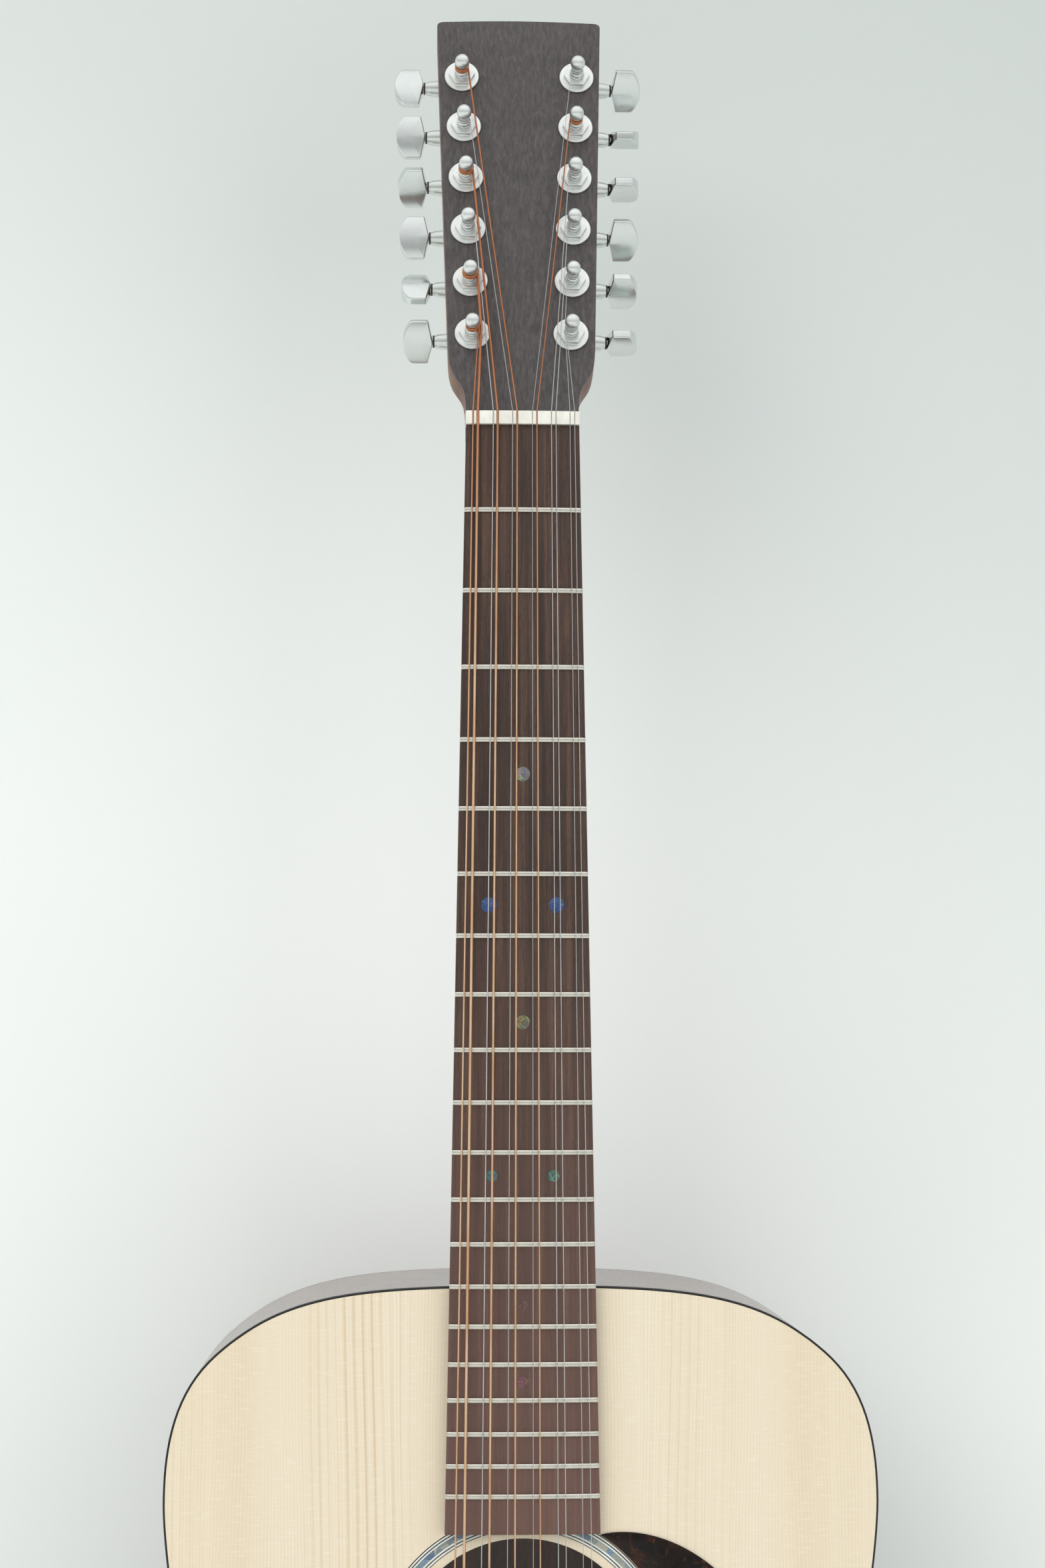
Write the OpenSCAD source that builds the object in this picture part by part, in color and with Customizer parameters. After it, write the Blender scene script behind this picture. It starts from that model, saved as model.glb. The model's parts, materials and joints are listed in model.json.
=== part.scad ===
/* [Scale and neck] */
// Scale length, nut to the middle of the saddle before compensation
scale_len = 645.2; // [640:0.1:650]
// Width of the fretboard at the nut
nut_w = 47.6; // [46:0.1:49]
// How much wider the fretboard gets for each millimetre of its length
board_taper = 0.0342; // [0.03:0.0002:0.037]
// Length of the fretboard
board_len = 457.2; // [455:0.1:458]
// Thickness of the fretboard at its crown
board_t = 6.4; // [6:0.1:7]
// Radius of the fretboard's crown
crown_r = 406; // [380:1:430]
// Neck wood under the fretboard at the nut
neck_t_nut = 14.1; // [13.5:0.1:15]
// Neck wood under the fretboard where the heel starts
neck_t_heel = 16.1; // [15.5:0.1:17]

/* [Frets and nut] */
// Frets on the board
fret_count = 20; // [20:1:20]
// Fret at which the body starts
body_fret = 14; // [14:1:14]
// Height of a fret's crown above the board
fret_h = 1.0; // [0.9:0.05:1.1]
// Width of a fret's crown
fret_w = 2.3; // [2:0.1:2.6]
// Length of the nut along the neck
nut_len = 5.6; // [5:0.1:6]

/* [Headstock] */
// Angle by which the headstock leans back
head_tilt = 14; // [13:0.5:15]
// Length of the headstock's face
head_len = 193; // [192:0.5:195]
// Half of the headstock's width above the flare
head_half_low = 31.6; // [31:0.1:32]
// Half of the headstock's width at its top corners
head_half_top = 36.1; // [35.5:0.1:36.5]
// Thickness of the headstock with its plate
head_t = 16; // [16:0.1:16.2]
// Thickness of the headplate
headplate_t = 1.8; // [1.5:0.1:2]

/* [Tuners] */
// Distance along the headstock from one tuner to the next
tuner_pitch = 25.4; // [25.2:0.1:25.5]
// Place of the lowest tuners along the face
tuner_low = 37.5; // [37:0.1:38]
// Distance of the lowest posts from the centreline
post_x_low = 21.05; // [20.8:0.05:21.3]
// Distance of the highest posts from the centreline
post_x_top = 25.3; // [25:0.05:25.5]
// Radius of a post in its bushing
post_r = 2.9; // [2.9:0.01:2.92]
// Height of a post above the face
post_h = 15.3; // [15:0.1:16]
// Teeth on a worm wheel
wheel_teeth = 14; // [14:1:14]
// Module of the worm gearing
gear_module = 0.75; // [0.75:0.01:0.75]
// Distance from a post's axis to its knob's axis, towards the tip
gear_centre = 7.5; // [7.5:0.01:7.52]
// Depth of the knob's axis behind the face
worm_depth = 21; // [21:0.1:21.2]

/* [Body] */
// Length of the body
body_len = 508; // [504:1:512]
// Half of the width at the upper bout
upper_half = 146.15; // [144:0.05:148]
// Half of the width at the waist
waist_half = 136.5; // [134:0.5:138]
// Half of the width at the lower bout
lower_half = 198.4; // [196:0.2:200]
// Depth at the heel
depth_heel = 100; // [98:0.5:102]
// Depth at the tail
depth_tail = 123.8; // [121:0.5:125]
// Radius of the back's arch
back_r = 2800; // [2700:10:2900]
// Thickness of the soundboard
top_t = 2.8; // [2.6:0.1:3]
// Thickness of the back
back_t = 2.5; // [2.4:0.1:2.8]
// Thickness of the sides
side_t = 2; // [1.9:0.1:2.2]
// Width of the edge binding, seen from the front
bind_w = 0.9; // [0.8:0.1:1.2]
// Height of the edge binding
bind_h = 3.2; // [3:0.1:4]
// Radius of the soundhole
hole_r = 50.8; // [50.5:0.1:51]
// Soundhole centre, from the nut
hole_s = 510.5; // [510:0.1:511]

/* [Bridge] */
// Thickness of the bridge
bridge_t = 8.5; // [8:0.1:9]
// Half of the bridge's width
bridge_half = 76; // [75:0.5:78]
// Height of the strings above the frets' plane at the saddle
saddle_rise = 4.4; // [4:0.1:4.8]
// Added length of the middle string for intonation
compensation = 2.8; // [2:0.1:3]
// Slant of the saddle
saddle_slant = 2; // [1.5:0.1:2.5]

/* [Hidden] */

// The frame: +Z up the neck, the front faces -Y. Z = 0 is the nut's front edge and Y = 0 the
// plane of the frets' tops, so a place s millimetres down the string is at Z = -s.
board_top = fret_h;                     // crown of the board
top_face = board_top + board_t;         // front face of the soundboard
crown_axis = board_top + crown_r;       // axis of the board's crown
fit = 0.03;                             // gap between pieces that are pressed together
running = 0.05;                         // radial clearance of a shaft in its bearing
smooth = 64;                            // steps on a round of ordinary size

function fret_s(n) = scale_len * (1 - pow(2, -n / 12));
function board_half(s) = (nut_w + board_taper * s) / 2;

body_s = fret_s(body_fret);
body_z = -body_s;                       // the body's top edge
tail_z = body_z - body_len;
board_under = top_face + top_t;         // inner face of the soundboard

// ---------- curves ----------
function mix(a, b, t) = a + (b - a) * t;
function bezier(p, t) = len(p) == 1 ? p[0]
    : bezier([for (i = [0:len(p) - 2]) mix(p[i], p[i + 1], t)], t);
// The points of a curve without its last one, so that curves can follow each other
function curve(p, n) = [for (i = [0:n - 1]) bezier(p, i / n)];
function mirrored(p) = [for (i = [len(p) - 1:-1:0]) if (p[i][0] > 0.001) [-p[i][0], p[i][1]]];
function closed_half(p) = concat(p, mirrored(p));

// Half of the body's outline, as distance from the centreline and distance below the top edge
shoulder = [117.7, 21.3];
shoulder_dir = [0.802, 0.597];
body_half = concat(
    curve([[0, 0], [62.8, 0], shoulder - 31.2 * shoulder_dir, shoulder], 10),
    curve([shoulder, shoulder + 16.5 * shoulder_dir, [upper_half, 44.4], [upper_half, 86.1]], 10),
    curve([[upper_half, 86.1], [upper_half, 112], [waist_half, 150], [waist_half, 190]], 9),
    curve([[waist_half, 190], [waist_half, 245], [lower_half, 310], [lower_half, 398]], 16),
    curve([[lower_half, 398], [lower_half, 468], [128, body_len], [0, body_len]], 20),
    [[0, body_len]]
);

module body_outline(inset = 0) {
    outline = closed_half([for (p = body_half) [p[0], body_z - p[1]]]);
    if (inset == 0) polygon(outline);
    else offset(delta = -inset) polygon(outline);
}

// A plate or prism standing on the XZ plane, between two depths
module prism(y_front, y_back) {
    translate([0, y_back, 0]) rotate([90, 0, 0])
        linear_extrude(height = y_back - y_front) children();
}

// A round bar along Y, between two depths
module y_bar(x, z, r, y_front, y_back, steps = smooth) {
    translate([x, y_back, z]) rotate([90, 0, 0])
        cylinder(r = r, h = y_back - y_front, $fn = steps);
}

// A block given by its lowest and highest corners
module block(low, high) {
    translate(low) cube(high - low);
}

// The back is arched across its width: it follows one big drum that lies along the back's slope
back_slope = atan((depth_tail - depth_heel) / body_len);
back_chord = body_len / cos(back_slope);
drum_spare = 60;
module back_drum(inset) {
    translate([0, top_face + depth_heel, body_z]) rotate([back_slope, 0, 0])
        translate([0, -back_r, -back_chord - drum_spare])
            cylinder(r = back_r - inset, h = back_chord + 2 * drum_spare, $fn = 256);
}
function back_depth(z, inset) =
    top_face + depth_heel + (body_z - z) * tan(back_slope) - inset / cos(back_slope);

// ---------- headstock frame ----------
// Local z runs up the face from the nut, local y is depth behind the face.
face_y = 5.5;
face_z = nut_len;
module on_head() {
    translate([0, face_y, face_z]) rotate([-head_tilt, 0, 0]) children();
}
function from_head(p) = [
    p[0],
    face_y + p[1] * cos(head_tilt) + p[2] * sin(head_tilt),
    face_z - p[1] * sin(head_tilt) + p[2] * cos(head_tilt)
];

flare_end = 30;
corner_r = 2.6;
head_side = concat(
    curve([[nut_w / 2, -6], [nut_w / 2, 1], [nut_w / 2, 4], [nut_w / 2 + 0.4, 8]], 4),
    curve([[nut_w / 2 + 0.4, 8], [nut_w / 2 + 1.4, 17], [head_half_low - 0.7, 15],
        [head_half_low - 0.3, flare_end]], 8),
    curve([[head_half_low - 0.3, flare_end], [head_half_top, head_len - corner_r]], 1),
    curve([[head_half_top, head_len - corner_r], [head_half_top + 0.1, head_len - 0.7],
        [head_half_top - 1, head_len - 0.2], [head_half_top - 3.2, head_len]], 6),
    curve([[head_half_top - 3.2, head_len], [12, head_len + 0.8], [0, head_len + 0.8]], 4),
    [[0, head_len + 0.8]]
);
module head_outline() {
    polygon(concat(head_side, [for (i = [len(head_side) - 2:-1:0]) [-head_side[i][0], head_side[i][1]]]));
}

// Tuners 1 to 6 climb the left side, 7 to 12 the right side
function tuner_side(i) = i < 6 ? -1 : 1;
function tuner_row(i) = i % 6;
function tuner_v(i) = tuner_low + tuner_pitch * tuner_row(i);
function post_x(i) = mix(post_x_low, post_x_top, tuner_row(i) / 5);
module at_tuner(i) {
    on_head() translate([tuner_side(i) * post_x(i), 0, tuner_v(i)])
        mirror([tuner_side(i) < 0 ? 1 : 0, 0, 0]) children();
}
// In a tuner's own frame, x points out to the knob, y is depth and z points to the tip.
module post_bar(r, front, back, steps = 32) {
    y_bar(0, 0, r, front, back, steps);
}
module knob_bar(r, from, to, steps = 32) {
    translate([from, worm_depth, gear_centre]) rotate([0, 90, 0])
        cylinder(r = r, h = to - from, $fn = steps);
}

bushing_hole = 5;
bushing_r = 4;
housing_back = 26.4;

// ---------- strings ----------
// Radius of each string, from the left
string_r = [0.34, 0.6, 0.23, 0.5, 0.15, 0.38, 0.12, 0.29, 0.18, 0.18, 0.13, 0.13];
nut_x = [-20.9, -18.9, -12.4, -10.6, -4.3, -2.4, 4, 5.9, 12, 13.9, 19.8, 21.8];
board_x = [-27.3, -23.7, -16.7, -13.6, -6.3, -3.3, 4.1, 6.9, 14.2, 17.3, 24.2, 27.6];
wound = [0, 1, 3, 5, 7];
plain = [2, 4, 6, 8, 9, 10, 11];
nut_rise = 0.45;
nut_drop = 0.5;
string_on_post = 6.9;
waist_r = 2.3;
// The tuner that holds a string: the outer strings go to the lowest posts
function string_tuner(i) = i < 6 ? i : 17 - i;
function crown_drop(x) = x * x / (2 * crown_r);
function string_x(i, s) = mix(nut_x[i], board_x[i], s / board_len);
saddle_s = scale_len + compensation;
function saddle_at(x) = saddle_s - x * tan(saddle_slant);
saddle_x = [for (i = [0:11]) string_x(i, saddle_s)];
// Bridge pins stand in two rows, the left string of each pair in the front one
pin_rows = [14, 23];
pin_spread = 2.6;
function pin_x(i) =
    (saddle_x[i - i % 2] + saddle_x[i - i % 2 + 1]) / 2 + (i % 2 == 0 ? -pin_spread : pin_spread);
function pin_s(i) = saddle_s + pin_rows[i % 2];
string_slot = 3.5;

// The strings to the second tuners bear on the turns of the strings on the lowest posts
function bearing_point(i) =
    let (lowest = i < 6 ? 0 : 6, edge = i < 6 ? 0 : 11,
        inner = post_x(lowest) - waist_r - 2 * string_r[edge] - string_r[i] - 2 * running)
        from_head([tuner_side(lowest) * inner, -string_on_post, tuner_v(lowest)]);

function string_route(i) =
    let (t = string_tuner(i), r = string_r[i],
        inner = tuner_side(t) * (post_x(t) - waist_r - r - running))
    [
        from_head([inner, -string_on_post, tuner_v(t)]),
        if (tuner_row(t) == 1) bearing_point(i),
        [nut_x[i], crown_drop(nut_x[i]) - nut_rise - r + nut_drop, nut_len],
        [nut_x[i], crown_drop(nut_x[i]) - nut_rise - r, 0.4],
        [saddle_x[i], crown_drop(saddle_x[i]) - saddle_rise - r - 3 * running, -saddle_at(saddle_x[i])],
        [pin_x(i), top_face - bridge_t - r - 0.5, -(pin_s(i) - string_slot - 1)],
        [pin_x(i), top_face - 4, -(pin_s(i) - string_slot)],
        [pin_x(i), board_under + 6, -(pin_s(i) - string_slot)]
    ];

function unit(v) = v / norm(v);
function route_dir(p, i) = unit((i == 0 ? [0, 0, 0] : unit(p[i] - p[i - 1]))
    + (i == len(p) - 1 ? [0, 0, 0] : unit(p[i + 1] - p[i])));
// A round bar with eight sides along a route
module swept_bar(p, r) {
    sides = 8;
    rings = [for (i = [0:len(p) - 1])
        let (d = route_dir(p, i), a = unit(cross(d, [1, 0, 0])), b = cross(d, a))
            for (k = [0:sides - 1]) p[i] + r * (cos(k * 45) * a + sin(k * 45) * b)];
    last = (len(p) - 1) * sides;
    polyhedron(points = rings, faces = concat(
        [[for (k = [0:sides - 1]) k]],
        [[for (k = [sides - 1:-1:0]) last + k]],
        [for (i = [0:len(p) - 2], k = [0:sides - 1])
            let (n = (k + 1) % sides, o = i * sides)
                [o + k, o + sides + k, o + sides + n, o + n]]
    ));
}

// ---------- neck ----------
heel_len = 62;
heel_cap_len = 17.5;
heel_depth = depth_heel - 3;
heel_curve = [[heel_len, neck_t_heel], [30, neck_t_heel + 0.8], [24, 40], [heel_cap_len, heel_depth]];
heel_steps = 10;
rod_half = 3.2;
rod_depth = 9.6;
rod_from = 8;
rod_to = body_s - 8;
// The headstock is glued on below the nut, and the heel under the shaft
head_joint = 6;
shaft_h = neck_t_heel + 0.4;
shaft_stations = [head_joint, 80, 170, 250];
// Each station: distance down the neck, depth of the wood, and how much of it is heel
neck_stations = concat(
    [for (s = shaft_stations) [s, mix(neck_t_nut, neck_t_heel, s / (body_s - heel_len)), 0]],
    [for (i = [0:heel_steps]) let (p = bezier(heel_curve, i / heel_steps))
        [body_s - p[0], p[1], min(1, i / heel_steps * 1.25)]],
    [[body_s, heel_depth, 1]]
);
half_steps = 9;
// Half-width of a station's section at a depth under the fretboard
function neck_half(st, y) =
    let (e = min(y / st[1], 0.995), round_power = mix(2.2, 14, st[2]))
        board_half(st[0]) * (1 - 0.52 * st[2] * pow(e * min(1, st[1] / heel_depth + 0.25), 0.7))
            * pow(max(0, 1 - pow(e, round_power)), 0.5);
// The section between two depths, from its right upper corner round to the left one
function section(st, from, to) =
    let (right = [for (k = [0:half_steps]) let (y = mix(from, to, sin(90 * k / half_steps)))
        [neck_half(st, y), top_face + y, -st[0]]])
        concat(right, [for (k = [half_steps:-1:0]) [-right[k][0], right[k][1], right[k][2]]]);
// A solid through rings that all have the same number of points
module loft(rings) {
    per = len(rings[0]);
    n = len(rings);
    polyhedron(
        points = [for (r = rings) each r],
        faces = concat(
            [[for (k = [0:per - 1]) k]],
            [[for (k = [per - 1:-1:0]) (n - 1) * per + k]],
            [for (i = [0:n - 2], k = [0:per - 1]) each let (m = (k + 1) % per, o = i * per)
                [[o + k, o + per + k, o + m], [o + m, o + per + k, o + per + m]]]
        ));
}

module nut_space() {
    block([-30, -5, 0], [30, top_face, nut_len]);
}

module neck() {
    color("#6b4630") difference() {
        loft([for (st = neck_stations) section(st, 0, min(st[1], shaft_h))]);
        block([-rod_half, top_face - 1, -body_s - 1], [rod_half, top_face + rod_depth, 0]);
    }
}

module heel() {
    color("#6b4630") loft([for (st = neck_stations) if (st[1] > shaft_h + 1) section(st, shaft_h, st[1])]);
}

module headstock() {
    first = [head_joint, neck_t_nut, 0];
    color("#6b4630") difference() {
        union() {
            translate([0, 0, -head_joint]) linear_extrude(height = head_joint + nut_len)
                polygon([for (p = section(first, 0, neck_t_nut)) [p[0], p[1]]]);
            on_head() prism(headplate_t, head_t) head_outline();
        }
        nut_space();
        block([-40, -10, -30], [40, top_face, 0]);
        for (i = [0:11]) at_tuner(i) {
            post_bar(bushing_hole, -1, head_t + 3);
            translate([0, 0, -screw_reach]) post_bar(screw_r + running, head_t - screw_bite, head_t + 3, 16);
        }
    }
}

module headplate() {
    color("#4a4340") difference() {
        on_head() prism(0, headplate_t) head_outline();
        block([-40, -10, -20], [40, 20, nut_len]);
        for (i = [0:11]) at_tuner(i) post_bar(bushing_hole, -1, headplate_t + 1);
    }
}

// Place of each position dot: fret, distance from the centreline, radius
dots = [
    [5, 0, 3], [7, -14, 3.2], [7, 14, 3.2], [9, 0, 2.9],
    [12, -12.7, 2.4], [12, 12.7, 2.4], [15, 0, 2.4], [17, 0, 2.5]
];
dot_deep = 1.4;
function dot_s(d) = (fret_s(d[0]) + fret_s(d[0] - 1)) / 2;
function dot_front(d) = board_top + crown_drop(abs(d[1]) + d[2]);

slot_half = 0.3;
slot_floor = board_top + 3.3;
module fretboard() {
    color("#4b3a36") difference() {
        intersection() {
            prism(0, top_face) polygon([
                [-board_half(0), 0], [board_half(0), 0],
                [board_half(board_len), -board_len], [-board_half(board_len), -board_len]
            ]);
            translate([0, crown_axis, -board_len - 1])
                cylinder(r = crown_r, h = board_len + 2, $fn = 720);
        }
        for (n = [1:fret_count])
            block([-40, -1, -fret_s(n) - slot_half], [40, slot_floor, -fret_s(n) + slot_half]);
        for (d = dots) y_bar(d[1], -dot_s(d), d[2] + fit, -1, dot_front(d) + dot_deep, 32);
    }
}

module position_dots() {
    color("#9fb0a8")
        for (d = dots) y_bar(d[1], -dot_s(d), d[2], dot_front(d), dot_front(d) + dot_deep, 32);
}

tang_half = 0.26;
tang_depth = 1.7;
module fret(n) {
    half = fret_w / 2;
    reach = asin((board_half(fret_s(n)) + 0.15) / crown_r);
    top = crown_r + fret_h;
    translate([0, crown_axis, -fret_s(n)])
        rotate([0, 0, -90 - reach]) rotate_extrude(angle = 2 * reach, $fn = 360) polygon([
            [crown_r - tang_depth, -tang_half], [crown_r + 0.01, -tang_half], [crown_r + 0.01, -half],
            [top - 0.5, -half * 0.93], [top - 0.14, -half * 0.6], [top, -half * 0.2],
            [top, half * 0.2], [top - 0.14, half * 0.6], [top - 0.5, half * 0.93],
            [crown_r + 0.01, half], [crown_r + 0.01, tang_half], [crown_r - tang_depth, tang_half]
        ]);
}
module frets() {
    color("silver") for (n = [1:fret_count]) fret(n);
}

nut_top = -1.05;
module nut() {
    color("ivory") difference() {
        intersection() {
            block([-nut_w / 2 - 0.2, nut_top - 1, 0], [nut_w / 2 + 0.2, top_face, nut_len]);
            translate([0, nut_top + crown_r, -1]) cylinder(r = crown_r, h = nut_len + 2, $fn = 720);
        }
        for (i = [0:11]) {
            x = nut_x[i];
            half = string_r[i] + fit;
            seat = crown_drop(x) - nut_rise + fit;
            translate([x - half, 0, 0]) rotate([90, 0, 90]) linear_extrude(height = 2 * half) polygon([
                [-5, -1], [seat, -1], [seat, 0.4], [seat + nut_drop, nut_len],
                [seat + nut_drop + 0.3, nut_len + 1], [-5, nut_len + 1]
            ]);
        }
    }
}

rod_wall = 1.1;
rod_gap = 0.1;
module truss_rod() {
    half = rod_half - rod_gap;
    front = top_face + 0.2;
    back = top_face + rod_depth - 0.2;
    color("lightsteelblue") {
        difference() {
            block([-half, front, -rod_to + 12], [half, back, -rod_from - 1]);
            block([-half + rod_wall, front + rod_wall, -rod_to], [half - rod_wall, back + 1, 0]);
        }
        translate([0, (front + back) / 2 + 0.6, -rod_to + 4])
            cylinder(r = 1.8, h = rod_to - rod_from - 6, $fn = 24);
        translate([0, (front + back) / 2 + 0.6, -rod_to - 4])
            cylinder(r = 2.9, h = 8, $fn = 6);
    }
}

module heel_cap() {
    color("#231d1c") prism(top_face + heel_depth, top_face + heel_depth + 1.4) polygon([
        [-13.9, body_z], [13.9, body_z], [13.5, body_z + 10], [9, body_z + 15.8], [0, body_z + 17.4],
        [-9, body_z + 15.8], [-13.5, body_z + 10]
    ]);
}

// ---------- body ----------
ring_deep = 0.9;
// Rosette rings as inner and outer radius
black_rings = [[54.3, 54.6], [55.35, 55.8], [59.4, 59.85], [60.5, 60.9]];
white_rings = [[54.6, 55.35], [55.8, 56.5], [58.8, 59.4], [59.85, 60.5]];
shell_ring = [56.5, 58.8];
module ring(radii, y_front, y_back) {
    difference() {
        y_bar(0, -hole_s, radii[1], y_front, y_back, 180);
        y_bar(0, -hole_s, radii[0], y_front - 1, y_back + 1, 180);
    }
}

module soundboard() {
    color("#f0e4cd") difference() {
        prism(top_face, board_under) body_outline(bind_w + fit);
        y_bar(0, -hole_s, hole_r, top_face - 1, board_under + 1, 180);
        ring([black_rings[0][0] - fit, black_rings[3][1] + fit], top_face - 1, top_face + ring_deep);
        for (i = [0:11]) bridge_holes(i);
    }
}

module rosette_black() {
    color("#1c1a1a") for (r = black_rings) ring(r, top_face, top_face + ring_deep - fit);
}
module rosette_white() {
    color("#f2efe6") for (r = white_rings)
        ring([r[0] + 0.01, r[1] - 0.01], top_face, top_face + ring_deep - fit);
}
module rosette_shell() {
    color("#8f98a0") ring([shell_ring[0] + 0.01, shell_ring[1] - 0.01], top_face, top_face + ring_deep - fit);
}

module sides() {
    color("#6d5a50") difference() {
        intersection() {
            prism(board_under + fit, 160) difference() {
                body_outline();
                body_outline(side_t);
            }
            back_drum(back_t + fit);
        }
        prism(0, top_face + bind_h + fit) difference() {
            offset(delta = 5) body_outline();
            body_outline(bind_w + fit);
        }
        end_pin_hole();
        key_channel();
    }
}

module back() {
    color("#5a4038") difference() {
        intersection() {
            prism(top_face + depth_heel - 10, 160) body_outline();
            back_drum(0);
        }
        back_drum(back_t);
    }
}

module top_binding() {
    color("#1d1a19") prism(top_face, top_face + bind_h) difference() {
        body_outline();
        body_outline(bind_w);
    }
}

lining_w = 5.5;
// Way for the truss rod's key, from the soundhole to the neck
module key_channel() {
    block([-rod_half - 0.3, 0, body_z - 100], [rod_half + 0.3, top_face + rod_depth + 0.3, body_z + 5]);
}

lining_h = 14;
block_half = 45;
block_len = 45;
tail_len = 22;
module block_spaces(gap) {
    block([-block_half - gap, 0, body_z - block_len - gap], [block_half + gap, 200, body_z + 5]);
    block([-block_half - gap, 0, tail_z - 5], [block_half + gap, 200, tail_z + tail_len + gap]);
}
module lining_ring() {
    difference() {
        body_outline(side_t + fit);
        body_outline(side_t + lining_w);
    }
}
module linings() {
    color("#c9a878") difference() {
        union() {
            prism(board_under + fit, board_under + lining_h) lining_ring();
            difference() {
                intersection() {
                    prism(80, 160) lining_ring();
                    back_drum(back_t + fit);
                }
                back_drum(back_t + lining_h);
            }
        }
        block_spaces(0.1);
    }
}

module neck_block() {
    color("#b98d5e") difference() {
        intersection() {
            prism(board_under + fit, 160) body_outline(side_t + fit);
            back_drum(back_t + fit);
            block([-block_half, 0, body_z - block_len], [block_half, 200, body_z + 5]);
        }
        key_channel();
    }
}

pin_depth = top_face + 62;
pin_hole_r = 4;
module end_pin_hole() {
    translate([0, pin_depth, tail_z - 5]) cylinder(r = pin_hole_r, h = tail_len + 10, $fn = 48);
}
module tail_block() {
    color("#b98d5e") difference() {
        intersection() {
            prism(board_under + fit, 160) body_outline(side_t + fit);
            back_drum(back_t + fit);
            block([-block_half, 0, tail_z - 5], [block_half, 200, tail_z + tail_len]);
        }
        end_pin_hole();
    }
}

module end_pin() {
    color("#171616") translate([0, pin_depth, tail_z]) rotate([180, 0, 0])
        rotate_extrude($fn = smooth) polygon([
            [0, -tail_len + 2], [2.8, -tail_len + 2], [pin_hole_r - fit, -tail_len + 4],
            [pin_hole_r - fit, 0.05], [6.2, 0.05], [6.2, 1.2], [4.6, 2.6], [4.1, 5.6], [4.8, 8.4],
            [7, 9.6], [7.2, 10.8], [6.2, 12.2], [3.4, 13.2], [0, 13.5]
        ]);
}

// ---------- braces ----------
brace_front = board_under + fit;
module inside_rim(y_front, y_back) {
    prism(y_front, y_back) body_outline(side_t + lining_w + 0.6);
}
// A bar across a plate: centre, angle, half-length, half-width
module bar_outline(x, z, angle, half_len, half_w) {
    translate([x, z]) rotate(angle) square([2 * half_len, 2 * half_w], center = true);
}

x_cross = hole_s + 82;
x_angle = 49;
x_half = 4;
x_h = 14;
module x_leg(angle) {
    intersection() {
        prism(brace_front, brace_front + x_h) bar_outline(0, -x_cross, angle, 300, x_half);
        inside_rim(brace_front - 1, brace_front + x_h + 1);
    }
}
module x_brace() {
    color("#e3cfa4") {
        difference() {
            x_leg(90 + x_angle);
            block([-9, brace_front - 1, -x_cross - 9], [9, brace_front + x_h / 2, -x_cross + 9]);
        }
        difference() {
            x_leg(90 - x_angle);
            block([-9, brace_front + x_h / 2 - 0.05, -x_cross - 9], [9, brace_front + x_h + 1, -x_cross + 9]);
        }
    }
}

module upper_braces() {
    color("#e3cfa4") difference() {
        intersection() {
            union() {
                prism(brace_front, brace_front + 12) bar_outline(0, body_z - 76, 0, 200, 6);
                prism(brace_front, brace_front + 5) bar_outline(0, body_z - 62, 0, 55, 5);
            }
            inside_rim(brace_front - 1, brace_front + 30);
        }
        key_channel();
    }
}

module tone_bars() {
    color("#e3cfa4") difference() {
        union() {
            prism(brace_front, brace_front + 11) bar_outline(-8, -x_cross - 118, 30, 130, 3.2);
            prism(brace_front, brace_front + 10) bar_outline(22, -x_cross - 182, 30, 92, 3.2);
        }
        for (a = [90 + x_angle, 90 - x_angle])
            prism(brace_front - 1, brace_front + 30) bar_outline(0, -x_cross, a, 310, x_half + 0.4);
        prism(brace_front - 1, brace_front + plate_t + 0.1) plate_outline(0.2);
        prism(brace_front - 1, brace_front + 30) difference() {
            square(3000, center = true);
            body_outline(side_t + lining_w + 0.6);
        }
    }
}

// Finger braces fan out from the X's lower legs towards the rim
module finger_braces() {
    color("#e3cfa4") intersection() {
        for (side = [-1, 1], k = [0, 1])
            prism(brace_front, brace_front + 8)
                bar_outline(side * (114 + 16 * k), -x_cross - 12 - 46 * k, side * -(24 + 6 * k), 46, 2.6);
        inside_rim(brace_front - 1, brace_front + 30);
        prism(brace_front - 1, brace_front + 30) difference() {
            square(3000, center = true);
            for (a = [90 + x_angle, 90 - x_angle]) bar_outline(0, -x_cross, a, 310, x_half + 0.4);
        }
    }
}

plate_t = 2.5;
module plate_outline(grow) {
    polygon([
        [-44 - grow, -saddle_s + 10 + grow], [44 + grow, -saddle_s + 10 + grow],
        [76 + 2 * grow, -saddle_s - 30 - grow], [-76 - 2 * grow, -saddle_s - 30 - grow]
    ]);
}
module bridge_plate() {
    color("#d9b98a") difference() {
        prism(brace_front, brace_front + plate_t) plate_outline(0);
        for (i = [0:11]) bridge_holes(i);
    }
}

module back_braces() {
    color("#e3cfa4") intersection() {
        union() for (k = [0:3]) {
            z = body_z - 92 - 112 * k;
            half = k < 2 ? 4 : 8;
            rise = k < 2 ? 19 : 17;
            block([-250, back_depth(z, back_t) - rise, z - half], [250, 160, z + half]);
        }
        back_drum(back_t + fit);
        inside_rim(80, 160);
    }
}

// ---------- pickguard and bridge ----------
guard_t = 1;
guard_inner = black_rings[3][1] + 0.2;
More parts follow.
